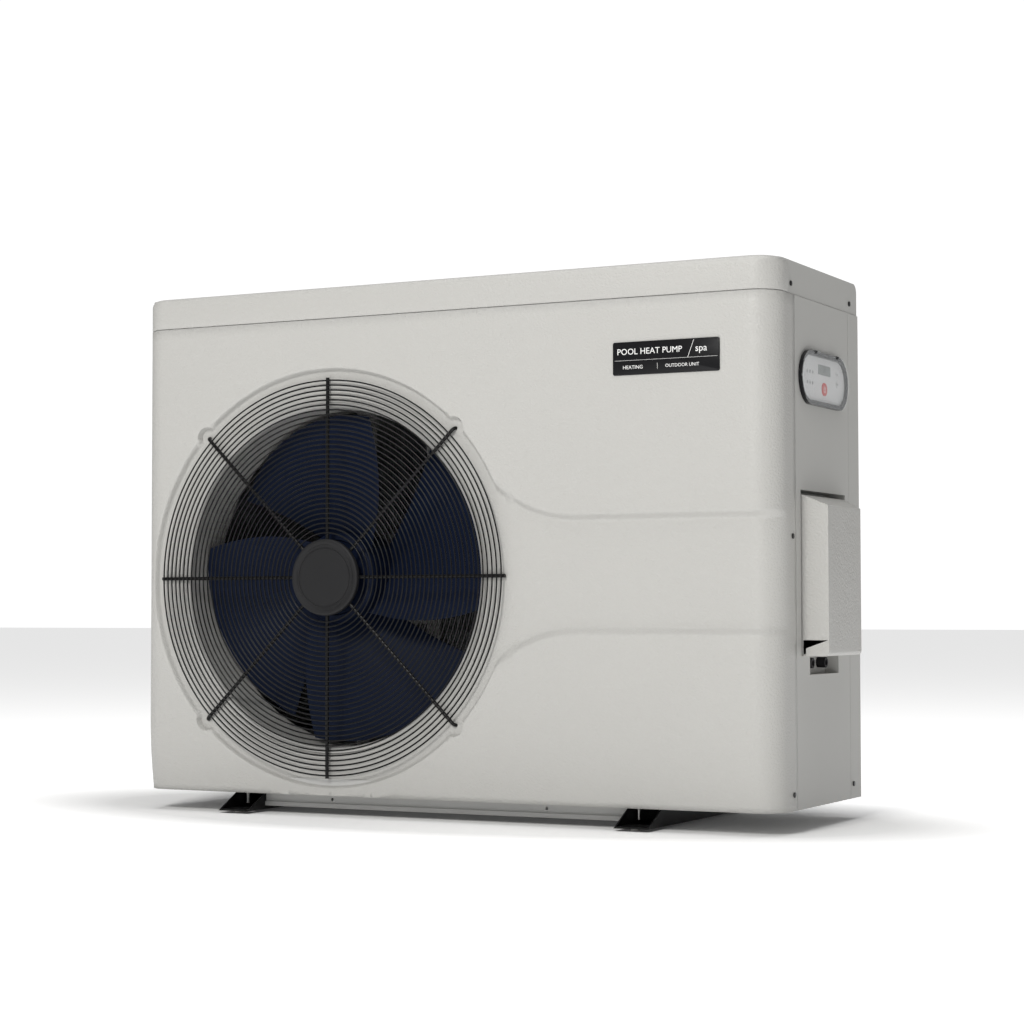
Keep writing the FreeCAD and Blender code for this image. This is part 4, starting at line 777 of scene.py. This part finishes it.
def build_display_marks():
    """The power sign, the arrows on the two small buttons, six small signs and the window's digits."""
    face, cap, small = (box_mm(node)[1][0] for node in ("display_face", "power_button", "up_button"))
    stroke = [(11.55, 567), (12.45, 567), (12.45, 571.4), (11.55, 571.4)]
    flat_marks("power_mark", "power", "print_white", "power_red",
               [arc_band(12, 566.6, 2.9, 3.8, -235, 55), stroke], cap)
    up_arrow, down_arrow = [(59, 589.7), (63, 589.7), (61, 592.5)], [(59, 578.3), (61, 575.5), (63, 578.3)]
    flat_marks("up_mark", "up", "print_dark", "display_trim", [up_arrow], small)
    flat_marks("down_mark", "down", "print_dark", "display_trim", [down_arrow], small)
    signs = []
    for y, z in [(y, z) for z in (586, 572) for y in (-52, -42, -32)]:
        signs.append(arc_band(y, z, 1.6, 2.2, 0, 359))
        signs.append([(y - 0.4, z - 1), (y + 0.4, z - 1), (y + 0.4, z + 1), (y - 0.4, z + 1)])
    flat_marks("display_signs", "cabinet", "print_dark", "display_trim", signs, face)
    low, high = box_mm("display_lcd")
    text_piece("display_digits", "28", 10.0, (high[0] + 0.02, low[1] + 17, low[2] + 3.6), FACING_SIDE,
               "cabinet", "print_dark", 0.05)


build_display_marks()


# ---------------------------------------------------------------- finishes of the other CAD nodes

for name, thing in nodes.items():
    thing.data.materials.clear()
    thing.data.materials.append(FINISHES[slot_of[name]])


# ---------------------------------------------------------------- floor, lights, camera

AMBIENT, BACKGROUND = 0.2, 0.85
FLOOR_HALF, FLOOR_Z = 30.0, -0.0005


def build_floor():
    """A pale floor that glows away from the object, so that it joins the white background; near the object
    the glow fades out, which paints a shadow round the base.
    """
    finish = Finish("studio_floor")
    half_width, half_depth = 0.62, 0.30
    scaled = finish.node("ShaderNodeMapping", Vector=finish.place(),
                         Scale=(1 / half_width, 1 / half_depth, 0.0))
    away = finish.node("ShaderNodeVectorMath", {"operation": "LENGTH"}, output="Value", Vector=scaled)
    # Painted shade: the floor's glow is near nothing inside an ellipse round the footprint and rises to white
    # outside it.
    glow_past_painted_shade = away.above(0.95, 0.5)
    finish.set(Base_Color=rgb(0.93, 0.93, 0.93), Roughness=0.9, Specular_IOR_Level=0.1)
    finish.set(Emission_Color=finish.mix(glow_past_painted_shade, rgb(0.05, 0.05, 0.05), rgb(1, 1, 1)),
               Emission_Strength=0.6)
    mesh = bpy.data.meshes.new("studio_floor")
    corners = [(-1, -1), (1, -1), (1, 1), (-1, 1)]
    mesh.from_pydata([(x * FLOOR_HALF, y * FLOOR_HALF, FLOOR_Z) for x, y in corners], [], [(0, 1, 2, 3)])
    mesh.materials.append(finish.material)
    floor = bpy.data.objects.new("studio_floor", mesh)
    bpy.context.scene.collection.objects.link(floor)


def area_light(name, place, target, size, power, colour=(1, 1, 1)):
    light = bpy.data.lights.new(name, "AREA")
    light.shape = "RECTANGLE"
    light.size, light.size_y = size
    light.energy = power
    light.color = colour
    thing = bpy.data.objects.new(name, light)
    bpy.context.scene.collection.objects.link(thing)
    thing.location = place
    thing.rotation_euler = (Vector(target) - Vector(place)).to_track_quat("-Z", "Y").to_euler()


def build_lights():
    """A small key light high in front, a broad light overhead and an even white surround."""
    middle = Vector((0, 0, 0.36))
    toward_light = Vector((0.105, -1, 0.58)).normalized()
    area_light("key", middle + toward_light * 5.0, middle, (1.1, 1.1), 130, (1.0, 0.99, 0.965))
    area_light("overhead", (0.2, -0.2, 3.4), middle, (3.2, 2.6), 62)
    world = bpy.data.worlds.new("studio")
    bpy.context.scene.world = world
    world.use_nodes = True
    tree = world.node_tree
    background = tree.nodes["Background"]
    background.inputs["Color"].default_value = (1, 1, 1, 1)
    seen = Sock(tree, tree.nodes.new("ShaderNodeLightPath").outputs["Is Camera Ray"])
    tree.links.new((seen * BACKGROUND + AMBIENT).out, background.inputs["Strength"])


def build_camera():
    """A low view from the front right."""
    yaw, pitch, roll = math.radians(27.279), math.radians(2.461), math.radians(-0.094)
    data = bpy.data.cameras.new("camera")
    data.sensor_width = 36.0
    data.lens = 81.10
    data.clip_end = 100
    camera = bpy.data.objects.new("camera", data)
    bpy.context.scene.collection.objects.link(camera)
    turn = (Matrix.Rotation(yaw, 4, "Z") @ Matrix.Rotation(math.pi / 2 + pitch, 4, "X")
            @ Matrix.Rotation(roll, 4, "Z"))
    camera.matrix_world = Matrix.Translation((1.5137, -2.8414, 0.2789)) @ turn
    bpy.context.scene.camera = camera


build_floor()
build_lights()
build_camera()
bpy.context.scene.view_settings.view_transform = "Standard"
